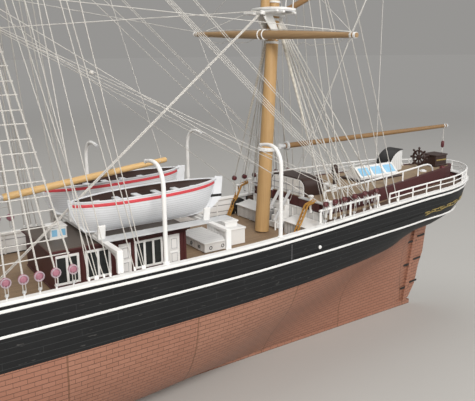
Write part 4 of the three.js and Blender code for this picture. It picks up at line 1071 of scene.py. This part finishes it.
yardCentres = {}
for name, mast in masts.items():
    radius = mast["radius"]
    top, cap, trees, upperCap, truck = [mast[key] for key in ("top", "lowerCap", "crosstrees", "topmastCap", "truck")]
    head = radius * 0.7
    topmast = radius * 0.6
    gallant = radius * 0.42
    topmastX = head + topmast + 0.7
    gallantX = topmastX + topmast + gallant - 0.3
    lower = [(0, 1), (top, 0.8), (top + 0.1, 0.7), (cap, 0.7)]
    pole = run(name + "_lower_pole", [[(*onMast(name, 0, 0, up), thick) for up, thick in lower]], radius, mastWood,
               round=6)
    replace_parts(pole, name + "_lower_mast")
    upper = [[(*onMast(name, topmastX, 0, top + 1.6), topmast),
              (*onMast(name, topmastX, 0, upperCap), topmast * 0.75)],
             [(*onMast(name, gallantX, 0, trees), gallant),
              (*onMast(name, gallantX, 0, truck - 1.4), gallant * 0.42)]]
    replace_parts(run(name + "_upper_poles", upper, 1, mastWood, round=5), name + "_upper_mast")

    bands = [drum((0, 0, up), radius * 0.82 + 0.3, 1.4, "Z", 28, 0.2) for up in (top - 17, top - 4)]
    bands += [drum((0, 0, up), head + 0.5, 1.2, "Z", 28, 0.2) for up in (top + 6, cap - 7)]
    bands += [drum((topmastX, 0, up), topmast + 0.3, 1.1, "Z", 24, 0.2) for up in (top + 9, trees - 5)]
    bands += [drum((gallantX, 0, truck - 0.9), gallant * 0.8, 1.6, "Z", 16, 0.5)]
    joined(name + "_mast_bands", [rakeTo(name, band) for band in bands], white)

    # the top: trestle trees, curved cheeks, a rimmed platform, and the cap
    reach, width, up = 7, radius * 3.3, top
    fittings = [slab((-5, 12.5), wide(side * (head + 0.9), 0.8), (up - 2.2, up), 0.25) for side in (1, -1)]
    fittings += [slab(wide(x, 0.8), (-width - 1.5, width + 1.5), (up - 1.3, up), 0.25) for x in (-3.2, 5, 9.6)]
    fittings += [slab((-head - 1.6, topmastX + topmast + 1.2), (-head - 1.2, head + 1.2), (cap - 2.4, cap + 0.2),
                      0.4)]
    fittings += [slab((topmastX - 2.6, gallantX + 1.8), (-2.3, 2.3), (upperCap - 1.7, upperCap + 0.1), 0.4)]
    fittings += [slab((topmastX - 3.5, topmastX + 7), wide(side * 2.6, 0.5), (trees - 1.2, trees + 0.4), 0.2)
                 for side in (1, -1)]
    fittings += [slab(wide(topmastX + x, 0.6), (-radius * 1.9, radius * 1.9), (trees - 0.1, trees + 1), 0.2)
                 for x in (-2, 3, 6)]
    joined(name + "_top_timbers", [rakeTo(name, item) for item in fittings], white)
    cheeks = []
    for side in (1, -1):
        y = side * (radius * 0.8 + 0.3)
        line = [(0.4, up - 15), (2.6, up - 11), (5, up - 7.5), (7.6, up - 4), (9.6, up - 1.6)]
        cheeks.append([(*onMast(name, ahead - 1.8, y, z), thick) for (ahead, z),
                       thick in zip(line, (0.5, 0.9, 1.1, 1.2, 1.2))])
    run(name + "_cheeks", cheeks, 0.5, white, flat=1.9)
    edge = [(-reach * 0.55, -width), (reach * 0.5, -width), (reach * 1.0, -width * 0.86),
            (reach * 1.32, -width * 0.6),
            (reach * 1.48, -width * 0.25), (reach * 1.5, 0)]
    edge += [(x, -y) for x, y in reversed(edge[:-1])]
    rings = [[onMast(name, x, y, z) for x, y in edge] for z in (up, up + 1.2)]
    lofted(name + "_top_platform", rings, greyWhite, angle=30)
    run(name + "_top_rim", [[onMast(name, x, y, up + 1.3) for x, y in edge]], 0.4, white, flat=0.3, closed=True)
    rails = [[onMast(name, -reach * 0.5, y, up + 8.5) for y in (-width * 0.9, width * 0.9)]]
    rails += [[onMast(name, -reach * 0.5, y, z) for z in (up + 1, up + 8.5)]
              for y in (-width * 0.9, -width * 0.45, width * 0.45, width * 0.9)]
    run(name + "_top_rail", rails, 0.4, white, round=0)

    # yards with their bands, jackstays, footropes and parrels
    jackstays, ropes, hoops, parrels = [], [], [], []
    for yard, height, half, thick in yards[name]:
        carrier = next(row for row in ((top, 0, radius * 0.9), (upperCap - 1, topmastX, topmast),
                                       (truck, gallantX, gallant)) if height < row[0])
        royal = yard.endswith("royal_yard")
        clear = 0.2 if top < height < cap else 0
        ahead = gallantX + thick if royal else carrier[1] + carrier[2] + thick + 0.3 + clear
        centre = (ahead, height)
        yardCentres[yard] = centre
        taper = [(-1, 0.5), (-0.97, 0.52), (-0.5, 0.85), (-0.2, 0.98), (0, 1), (0.2, 0.98), (0.5, 0.85), (0.97, 0.52),
                 (1, 0.5)]
        spar = run(yard + "_spar", [[(*alongYard(name, centre, half * t), r) for t, r in taper]], thick, yardWood,
                   round=4)
        if not royal:
            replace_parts(spar, yard)
        jackstays.append([alongYard(name, centre, half * t, thick * r + 0.45, 0.3) for t, r in taper[1:-1]])
        for side in (1, -1):
            sling = [(0.04, -0.6), (0.2, -5.4), (0.42, -6.2), (0.48, -4.4), (0.55, -6.4), (0.8, -5.2), (0.94, -0.8)]
            ropes.append([alongYard(name, centre, side * half * t, drop * half / 85) for t, drop in sling])
            ring = thick * 0.55 + 0.2
            hoops.append([(*alongYard(name, centre, side * (half * 0.985 + d)), ring) for d in (-0.7, 0.7)])
        for out in (2.2, -2.2):
            parrels.append([onMast(name, ahead + a, out, height + b) for a, b in circle(thick + 0.4, 18)])
    run(name + "_jackstays", jackstays, 0.18, palerThread, round=0)
    run(name + "_footropes", ropes, 0.16, shroudThread, round=0)
    run(name + "_yard_hoops", hoops, 1, white, round=3)
    run(name + "_parrels", parrels, 0.35, white, closed=True)

# Booms and gaff
spanker = {"pin": (-193.5, 0, 135.7), "z": 135.7, "jaw": -199, "rise": 0.0083,
           "spar": [(-198, 0, 1.6), (-199, 0, 1.75), (-256, 0.5, 1.7), (-354.6, 1.3, 1.35), (-355.9, 1.3, 1.1)],
           "hoops": [(-199.4, 2), (-352, 1.6), (-354.6, 1.75)]}
sparLine = [(x, 0, spanker["z"] + up, r) for x, up, r in spanker["spar"]]
boom = run("spanker_boom_spar", [sparLine], 1, gaffWood, "spanker", round=4)
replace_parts(boom, "spanker_boom")
fitting = [drum((-199.4, 0, spanker["z"]), 2.9, 1.6, "X", 22, 0.3),
           drum((-196.4, 0, spanker["z"]), 1.3, 6, "X", 16, 0.3),
           drum(spanker["pin"], 1.3, 3.4, "Z", 16, 0.3)]
joined("spanker_boom_gooseneck", fitting, greyWhite, "spanker")
hoops = [[(x - d, 0, spanker["z"] + (spanker["jaw"] - x) * spanker["rise"], r) for d in (0, 1)] for x,
         r in spanker["hoops"]]
run("spanker_boom_hoops", hoops, 1, greyWhite, "spanker", round=3)
mainBoom = {"pin": -23.7, "z": 126.5, "rise": 9 / 84.8,
            "spar": [(0, 1.7), (1, 1.85), (40, 1.85), (86.6, 1.5), (87.8, 1.2)]}
sparLine = [(mainBoom["pin"] - 3 - d, 0, mainBoom["z"] + d * mainBoom["rise"], r) for d, r in mainBoom["spar"]]
boom = run("main_boom_spar", [sparLine], 1, boomWood, "mainboom", round=4)
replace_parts(boom, "main_boom")
fitting = [drum((mainBoom["pin"] - 1.6, 0, mainBoom["z"]), 1.2, 4.4, "X", 16, 0.3),
           drum((mainBoom["pin"], 0, mainBoom["z"]), 1.3, 3.4, "Z", 16, 0.3)]
joined("main_boom_gooseneck", fitting, greyWhite, "mainboom")
gaff = {"z": 215, "aft": 0.9104, "up": 0.4138, "spar": [(0, 1.6), (1, 1.8), (40, 1.8), (95.5, 1.05), (97, 0.8)]}
mizzen = masts["mizzen"]
gaffStart = mizzen["x"] - math.tan(math.radians(mizzen["rake"])) * (gaff["z"] - deckTop(mizzen["x"])) - 5
gaffLine = [(gaffStart - d * gaff["aft"], 0, gaff["z"] + d * gaff["up"], r) for d, r in gaff["spar"]]
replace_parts(run("spanker_gaff_spar", [gaffLine], 1, gaffWood, round=4), "spanker_gaff")
for name, up, size, reach in (("mizzen", 51.5, 5.3, -8.6), ("main", 44, 5.9, -9.6)):
    band = [drum((0, 0, up), size, 2.2, "Z", 28, 0.3), slab((reach, -3.6), (-1, 1), wide(up, 1), 0.2)]
    joined(name + "_boom_ring", [rakeTo(name, item) for item in band], white)

# Bowsprit, jib boom and dolphin striker
bowsprit = {"foot": (312, 106.1), "steeve": 18.5}
steeve = math.radians(bowsprit["steeve"])


def onBow(distance, lift=0.0, out=0.0):
    x, z = bowsprit["foot"]
    return (x + math.cos(steeve) * distance - math.sin(steeve) * lift, out,
            z + math.sin(steeve) * distance + math.cos(steeve) * lift)


sprit = [[(*onBow(d), r) for d, r in ((8, 3.5), (40, 3.8), (70, 3.6), (92, 2.8))],
         [(*onBow(d + 38, 3.6), r) for d, r in ((0, 1.9), (40, 1.9), (110, 1.5), (164, 0.95), (165, 0.7))]]
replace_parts(run("bowsprit_spars", sprit, 1, spritWood, round=5), "bowsprit")
strikerTop = onBow(88)
run("dolphin_striker", [[(*strikerTop, 1), (strikerTop[0] - 3, 0, strikerTop[2] - 31.6, 0.6)]], 1, spritWood, round=3)
run("bowsprit_hoops", [[(*onBow(d, 0), r), (*onBow(d + 1.4, 0), r)] for d,
                       r in ((30, 4.1), (52, 4.1), (72, 3.9), (89, 3.2))], 1, white, round=4)
joined("bowsprit_cap", [slab(wide(strikerTop[0], 1.6), (-2.8, 2.8), (strikerTop[2] - 2.5, strikerTop[2] + 5.5), 0.4)],
       white)

# Shrouds with lower and upper deadeyes, lanyards and ratlines
shrouds = {"mizzen": [-191, -199, -207, -216, -225, -235.5], "main": [-6, -13, -20, -26.5, -33.5, -41],
           "fore": [182, 174, 166, 158, 149, 141]}
eyeHeight = {"mizzen": 12, "main": 8, "fore": 8}


def headAt(name, side, i):
    mast = masts[name]
    foot = deckTop(mast["x"]) + 0.4 + mast["radius"] * math.sin(math.radians(mast["rake"]))
    z = foot + mast["top"] - 8.5
    x = mast["x"] - math.tan(math.radians(mast["rake"])) * (z - deckTop(mast["x"])) - 1
    return Vector((x, side * (mast["radius"] * 0.8 + 1.4), z + i * 1.1))


bead = [0.45, 0.85, 1, 1, 0.85, 0.45]
for name, feet in shrouds.items():
    for side, label in sideNames:
        legs, eyes, rings, smallEyes, lines, straps, ratlines = [], [], [], [], [], [], []
        tops = []
        for i, x in enumerate(feet):
            low, high = Vector(atRail(x, 2.2, 0.6, side)), Vector(atRail(x, eyeHeight[name], 0.6, side))
            head = headAt(name, side, i)
            legs.append([tuple(high + Vector((0, 0, 0.8))), tuple(head)])
            tops.append((high, head))
            upper = 1 if name == "mizzen" else 1.3
            eyes.append([(high[0], high[1] + (k - 2.5) * 0.5, high[2], size * upper) for k, size in enumerate(bead)])
            rings.append([(high[0] + a, high[1] + side * 1.05, high[2] + b) for a, b in circle(upper * 1.5, 12)])
            smallEyes.append([(low[0], low[1] + (k - 2.5) * 0.35, low[2], size * 0.5) for k, size in enumerate(bead)])
            for d in (-0.6, 0.6):
                lines.append([(low[0] + d, low[1] + side * 0.9, low[2]),
                              (high[0] + d, high[1] + side * 0.9, high[2])])
            straps.append([atRail(x, 0, 0.6, side), tuple(low)])
        climb = 0 if name == "mizzen" else (tops[0][1][2] - tops[0][0][2]) * 0.9
        for k in range(int(climb / 6)):
            z = 110 + k * 6
            row = []
            for foot, head in tops:
                t = (z - foot[2]) / (head[2] - foot[2])
                p = foot + (head - foot) * t
                row.append((p[0], p[1] + side * 0.35, p[2] + (0.25 if k % 2 else -0.1)))
            ratlines.append([(row[0][0] + 0.8, row[0][1], row[0][2]), *row,
                             (row[-1][0] - 0.8, row[-1][1], row[-1][2])])
        base = "%s_%s" % (name, label)
        rope = run(base + "_shroud_legs", legs, 0.42, shroudThread)
        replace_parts(rope, "%s_shrouds_%s" % (name, label))
        run(base + "_deadeyes", eyes, 1.65, deadeyeRed if name == "mizzen" else deadeyePink, round=3)
        run(base + "_deadeye_rings", rings, 0.3, maroon if name == "mizzen" else ringLilac, round=0, closed=True)
        run(base + "_lower_eyes", smallEyes, 1.65, greyWhite, round=2)
        run(base + "_lanyards", lines, 0.18, shroudThread, round=0)
        run(base + "_deadeye_straps", straps, 0.4, white, round=0)
        if ratlines:
            run(base + "_ratlines", ratlines, 0.26, palerThread, round=0)
print("masts, yards and shrouds made")

# Stays, backstays, lifts and braces. Each is a list of two or more places.
rope = {"stay": 0.4, "back": 0.27, "line": 0.2, "fine": 0.15}
stayFoot = {"mizzen": (-10, 10, deckTop(-10) + 0.5), "main": (168, 9, deckTop(168) + 0.5), "fore": onBow(42.5, 6)}
for name, foot in stayFoot.items():
    head = onMast(name, 9.8, 0, masts[name]["top"] - 1)
    near = between(head, foot, 0.8)
    twin = [(*onMast(name, 9.8, 1, masts[name]["top"] - 1.4), 0.7), (foot[0], foot[1] + 1.8, foot[2], 0.6)]
    stay = run(name + "_stay_rope", [[(*head, 1), (*near, 1), (*foot, 0.5)], twin], rope["stay"], palerThread)
    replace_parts(stay, name + "_stay")

upperStays = []
for name, ahead, leads in (("mizzen", "main", ((244, 158), (300, 203), (350, 266))),
                           ("main", "fore", ((302, 150), (364, 192), (438, 252)))):
    upperStays += [[onMast(name, 8, 0, up), onMast(ahead, -3, 0, low)] for up, low in leads]
upperStays += [[onMast("fore", 8, 0, up), onBow(d, 5)] for up, d in ((288, 125), (345, 160), (408, 198))]
striker = (strikerTop[0] - 3, 0, strikerTop[2] - 30.8)
upperStays += [[onBow(d, 2.6), striker] for d in (150, 198)]
upperStays += [[striker, (338, side * 4, 96)] for side in (1, -1)] + [[onBow(86, -3), (334, 0, 72)],
                                                                      [onBow(60, -3.8), (332, 0, 70)]]
upperStays += [[onBow(196, 3.6, side), (322, side * 16, 104)] for side in (1, -1)]
run("upper_stays", upperStays, rope["back"], shroudThread, round=0)

backstays = {
    "main": [(208, -51), (216, -55), (262, -52), (304, -58), (304, -70), (308, -74), (360, -75), (356, -48)],
    "mizzen": [(240, -205), (290, -207.5), (244, -232), (238, -240), (272, -250), (300, -258)],
    "fore": [(196, 133), (246, 129), (288, 125), (290, 118), (340, 113), (380, 109)],
}
for name, rows in backstays.items():
    lines = [[onMast(name, 4, side, up), atRail(x, 0.4, 1, side)] for up, x in rows for side in (1, -1)]
    run(name + "_backstays", lines, rope["back"], shroudThread, round=0)
eyes = [[(*atRail(x, lift, 1 + across, side), size) for lift, across,
         size in ((0.3, 0, 0.4), (0.8, 0, 1), (2, 0.2, 1), (2.5, 0.2, 0.4))]
        for name, rows in backstays.items() for up, x in rows for side in (1, -1)]
run("backstay_seizings", eyes, 0.6, white, round=2)

# Where each yard's braces lead, and how high
braceLead = {"fore": ("main", (100, 150, 200, 262, 320)), "main": ("mizzen", (166, 205, 244, 290, 330)),
             "mizzen": ("main", (138, 150, 200, 266, 300))}
for name, rows in yards.items():
    mast = masts[name]
    heads = (mast["lowerCap"] - 1, mast["crosstrees"] - 8, mast["topmastCap"] - 2, mast["truck"] - 52,
             mast["truck"] - 4)
    other, leads = braceLead[name]
    lifts, braces, knots = [], [], []
    for (yard, height, half, thick), head, lead in zip(rows, heads, leads):
        centre = yardCentres[yard]
        for side in (1, -1):
            end = alongYard(name, centre, side * half * 0.95, thick * 0.6)
            lifts.append([end, onMast(name, 4, side * 1.5, head)])
            braces.append([end, onMast(other, 0, side * 2, lead)])
            knots.append([(*alongYard(name, centre, side * half * (0.95 + d)), r) for d, r in
                          ((-0.012, 0.6), (-0.007, 1), (0.007, 1), (0.012, 0.6))])
    run(name + "_lifts", lifts, rope["fine"], shroudThread, round=0)
    run(name + "_braces", braces, rope["line"], palerThread, round=0)
    run(name + "_yard_knots", knots, 1.6 if name == "mizzen" else 1.9, palerThread, round=2)


# The falls that come down aft from the main mast, and the mizzen's own lines
def onHandrail(x, side):
    return (x, side * 32.6, trunkTop(x) + trunk["rail"])


falls = []
for side in (1, -1):
    falls += [[onMast("main", 0, 0, 128.5 + i), onHandrail(-210.5 - 5 * i, side)] for i in range(2)]
    falls.append([onMast("main", 0, side, 139.5), fenceAt(-198 if side > 0 else -190.5, 7.4, side)])
falls += [[onMast("main", 0, 1, 222 + i * 0.5), fenceAt(-219 - 2 * i, 7.4, 1)] for i in range(4)]
falls += [[onMast("main", 0, 1, 240 + i * 0.6), fenceAt(-230 - 2.4 * i, 7.4, 1)] for i in range(2)]
falls += [[onMast("main", 0, -1, up), fenceAt(x, 7.4, -1)] for up,
          x in ((202, -239), (203, -240.5), (190, -237), (187, -224))]
falls += [[onMast("main", 0, y, 121), onMast("mizzen", 10, y * 2, 132)] for y in (-1, 0, 1)]
run("main_falls", falls, rope["line"], palerThread, round=0)
start, finish = onMast("main", 0, 0, 129), onHandrail(-213, 1)
knot = [(*between(start, finish, t), r) for t, r in ((0.27, 0.5), (0.272, 1), (0.278, 1), (0.28, 0.5))]
run("fall_knot", [knot], 1.1, palerThread, round=3)
gaffEnd = (gaffLine[-1][0] + 2, 0, gaffLine[-1][2] - 1)
own = []
for side in (1, -1):
    own += [[onMast("mizzen", -2, side * 3.5, 126), fenceAt(x, 7.4, side)]
            for x in (-193, -198, -203, -209, -221, -228)]
    own += [[gaffEnd, atRail(-236, 0.5, 2, side)], [gaffEnd,
                                                    alongYard("mizzen", yardCentres["crossjack_yard"], side * 68)]]
    own.append([alongYard("mizzen", yardCentres["crossjack_yard"], side * 68), (-188, side * 18, 105.4)])
own += [[onMast("mizzen", -3, 0, 160), gaffLine[2][:3]],
        [onMast("mizzen", 2, 0, 240), (gaffStart - 60, 0, gaffLine[0][2] + 28.5)]]
run("mizzen_lines", own, rope["line"], palerThread, round=0)
serving = []
for name, feet in shrouds.items():
    for side in (1, -1):
        head, foot = headAt(name, side, 0), Vector(atRail(feet[0], 12, 0.6, side))
        serving.append([(*(head + (foot - head) * t), r) for t,
                        r in ((-0.02, 0.8), (0, 1), (0.3, 0.8), (0.62, 0.5), (0.64, 0.3))])
run("shroud_servings", serving, 1, twistedRope, round=2)

# Lines that reach a boom
sheetFoot, sheetHead = (-352.7, 0, 107.7), (-352.9, 0, spanker["z"])


def upSheet(t, *radius):
    return (*between(sheetFoot, sheetHead, t), *radius)


run("spanker_sheet_pendant", [[upSheet(0.62), sheetHead]], rope["line"] * 1.3, palerThread, "spanker")
run("spanker_sheet_block", [[upSheet(t, r) for t, r in ((0.45, 0.4), (0.48, 1), (0.61, 1), (0.64, 0.4))]], 1.3,
    deadeyeRed, "spanker")
liftHead, liftFoot = onMast("main", 8, 0, 350), (-111.4, 0, 137.2)
bridle = [[liftHead, liftFoot], [liftFoot, (-110, 1.8, 135.2), (-108.6, 0, 133.4), (-110, -1.8, 135.2), liftFoot]]
for name, paths, radius, finish, body, low, high in (
        ("spanker_sheet", [[sheetFoot, upSheet(0.47)]], rope["line"] * 1.3, palerThread, "spanker", sheetFoot,
         upSheet(0.47)),
        ("main_boom_lift", bridle, rope["fine"], palerThread, "mainboom", liftHead, liftFoot)):
    line = run(name, paths, radius, finish, None)
    tuple(v * mm for v in low)
    tuple(v * mm for v in high)
    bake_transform(line)

# Rudder hinges, keel and stern scrolls
for name in ("keel", "rudder"):
    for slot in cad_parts[name].material_slots:
        slot.material = keelCopper


def hingeX(z):
    return -324.28 - (z - 30) * 0.17


hinges = (53.5, 35.3, 17)
for name, body, paths in (
        ("rudder_straps", "rudder", [[(hingeX(z), side * 1.36, z), (hingeX(z) - 8.4, side * 1.2, z + 0.5)]
                                     for z in hinges for side in (1, -1)]),
        ("post_straps", "root", [[(hingeX(z - 3) + 0.6, side * 1.5, z - 3)] +
                                 [(spot[0], side * max(1.5, abs(spot[1])), z - 3) for spot in
                                  [hullPoint(s, z - 3, -0.2, side) for s in (-366.6, -356, -346, -340, -334)]]
                                 for z in hinges for side in (1, -1)])):
    run(name, paths, 0.12, strapBlack, body, flat=0.7)


# Generic curls along the counter
def curl(s, z, size, way, side):
    return [hullPoint(s + size * way * t * math.cos(9 * t) * 1.6,
                      z + size * t * math.sin(9 * t) * 0.5 + (1 - t) * 0.6, -0.12, side)
            for t in [k / 12 for k in range(13)]]


scrolls = []
for side in (1, -1):
    for k, s in enumerate((-293, -300, -306, -313, -320, -328, -337)):
        scrolls.append(curl(s, 85.2 + k * 0.55, 2.6, 1 if k % 2 else -1, side))
    scrolls.append([hullPoint(s, 84.2 + (-290 - s) * 0.072 + math.sin(s * 0.5) * 0.5, -0.12, side)
                    for s in range(-342, -289, 3)])
run("stern_scrolls", scrolls, 0.1, gilt, flat=0.15)
joints = [[hullPoint(-164.5, z, -0.06, side) for z in (80.6, 84, 87, 90)] for side in (1, -1)]
run("side_joints", joints, 0.09, printGrey, round=0)
run("side_bosses", [[(-186.4, hullPoint(-186.4, 83.9, out, side)[1], 83.9, r) for out,
                     r in ((0.4, 1.1), (-0.5, 1.1), (-0.9, 0.5))]
                    for side in (1, -1)], 1, white, round=3)

# Bow: catheads and anchors, and the capstan
bow = {"cathead": 292, "anchor": 283}
beams, anchors = [], []
for side in (1, -1):
    x, y, z = atRail(bow["cathead"], 1, 1, side)
    beams.append(turned(slab(wide(x, 1.3), wide(y + side * 2, 5), wide(z, 1.2), 0.25), side * -14, "Z", (x, y, z)))
    ax, ay, az = atRail(bow["anchor"], -6, -1.6, side)
    anchors.append([(ax + 9, ay, az + 3.6, 0.9), (ax - 9, ay, az - 4, 1.1)])
    anchors.append([(ax - 6.4, ay, az - 10.5, 0.5), (ax - 9.6, ay, az - 7.5, 1.1), (ax - 10.4, ay, az - 4, 1.2),
                    (ax - 9, ay, az, 1.1), (ax - 5.4, ay, az + 2.2, 0.5)])
    anchors.append([(ax + 7.6, ay - 4, az + 3, 0.8), (ax + 7.6, ay + 4, az + 3, 0.8)])
joined("catheads", beams, white)
run("bower_anchors", anchors, 0.8, strapBlack, round=2)
capstan = upright(252, 0, (103.6, 4), (104.8, 4), (105.2, 2.5), (110, 2.2), (110.6, 4), (112.4, 4), (113, 1))
run("capstan", [capstan], 1, darkBrown, round=4)
print("rigging and small fittings made:", len(bpy.data.meshes), "meshes")

# Floor, light and camera
studio = {
    "floor": (0.5, 0.49, 0.47), "fade": (350, 2400), "world": (0.9, 0.88, 0.85), "worldStrength": 0.34,
    "lights": [  # place in metres, size, power, colour
        ("key", (0.24, 1.05, 0.78), 0.45, 15, (1, 0.97, 0.93)),
        ("fill", (-1.5, 0.8, 0.9), 1.6, 9, (0.95, 0.97, 1)),
        ("top", (-0.1, -0.6, 1.7), 1.8, 11, (1, 1, 1)),
    ],
}
bpy.ops.mesh.primitive_plane_add(size=60)
floor = bpy.context.active_object
floor.name = "floor"
glow = tuple(value * studio["worldStrength"] for value in studio["world"])
floorFinish = Finish("paleFloor", **{"Emission Strength": 1, "Specular IOR Level": 0.1})
x, y, z = floorFinish.split(floorFinish.place())
far = x * x + y * y
fade = floorFinish.node("ShaderNodeMapRange", {"interpolation_type": "SMOOTHSTEP"},
                        {"Value": far.maths("SQRT", far), "From Min": studio["fade"][0],
                         "From Max": studio["fade"][1]})
near = floorFinish.mix(floorFinish.noise(60), tuple(v * 0.97 for v in studio["floor"]), studio["floor"])
floorFinish.feed(floorFinish.shader.inputs["Emission Color"], floorFinish.mix(fade, (0, 0, 0), glow))
floorFinish.done(floorFinish.mix(fade, near, (0, 0, 0)), 0.85)
floor.data.materials.append(floorFinish.material)

world = bpy.data.worlds.new("studio")
bpy.context.scene.world = world
world.use_nodes = True
sky = world.node_tree.nodes["Background"]
sky.inputs["Color"].default_value = (*studio["world"], 1)
sky.inputs["Strength"].default_value = studio["worldStrength"]
aim = Vector((-0.1, 0, 0.1))
for name, place, size, power, colour in studio["lights"]:
    lamp = bpy.data.lights.new(name, "AREA")
    lamp.size = size
    lamp.energy = power
    lamp.color = colour
    holder = bpy.data.objects.new(name, lamp)
    bpy.context.collection.objects.link(holder)
    holder.location = place
    holder.rotation_euler = (aim - Vector(place)).to_track_quat("-Z", "Y").to_euler()

view = {"place": (37.3, 296.4, 192.4), "ahead": (-0.5418, -0.8066, -0.2361), "right": (-0.8288, 0.5595, -0.0096),
        "lens": 45.89}
lens = bpy.data.cameras.new("camera")
lens.lens = view["lens"]
lens.sensor_width = 36
lens.clip_start = 0.01
lens.clip_end = 100
camera = bpy.data.objects.new("camera", lens)
bpy.context.collection.objects.link(camera)
back = -Vector(view["ahead"]).normalized()
right = Vector(view["right"])
right = (right - back * right.dot(back)).normalized()
turn = Matrix((right, back.cross(right), back)).transposed()
camera.matrix_world = Matrix.Translation(Vector(view["place"]) * mm) @ turn.to_4x4()
bpy.context.scene.camera = camera
bpy.context.scene.view_settings.view_transform = "Standard"
print("floor, light and camera made")
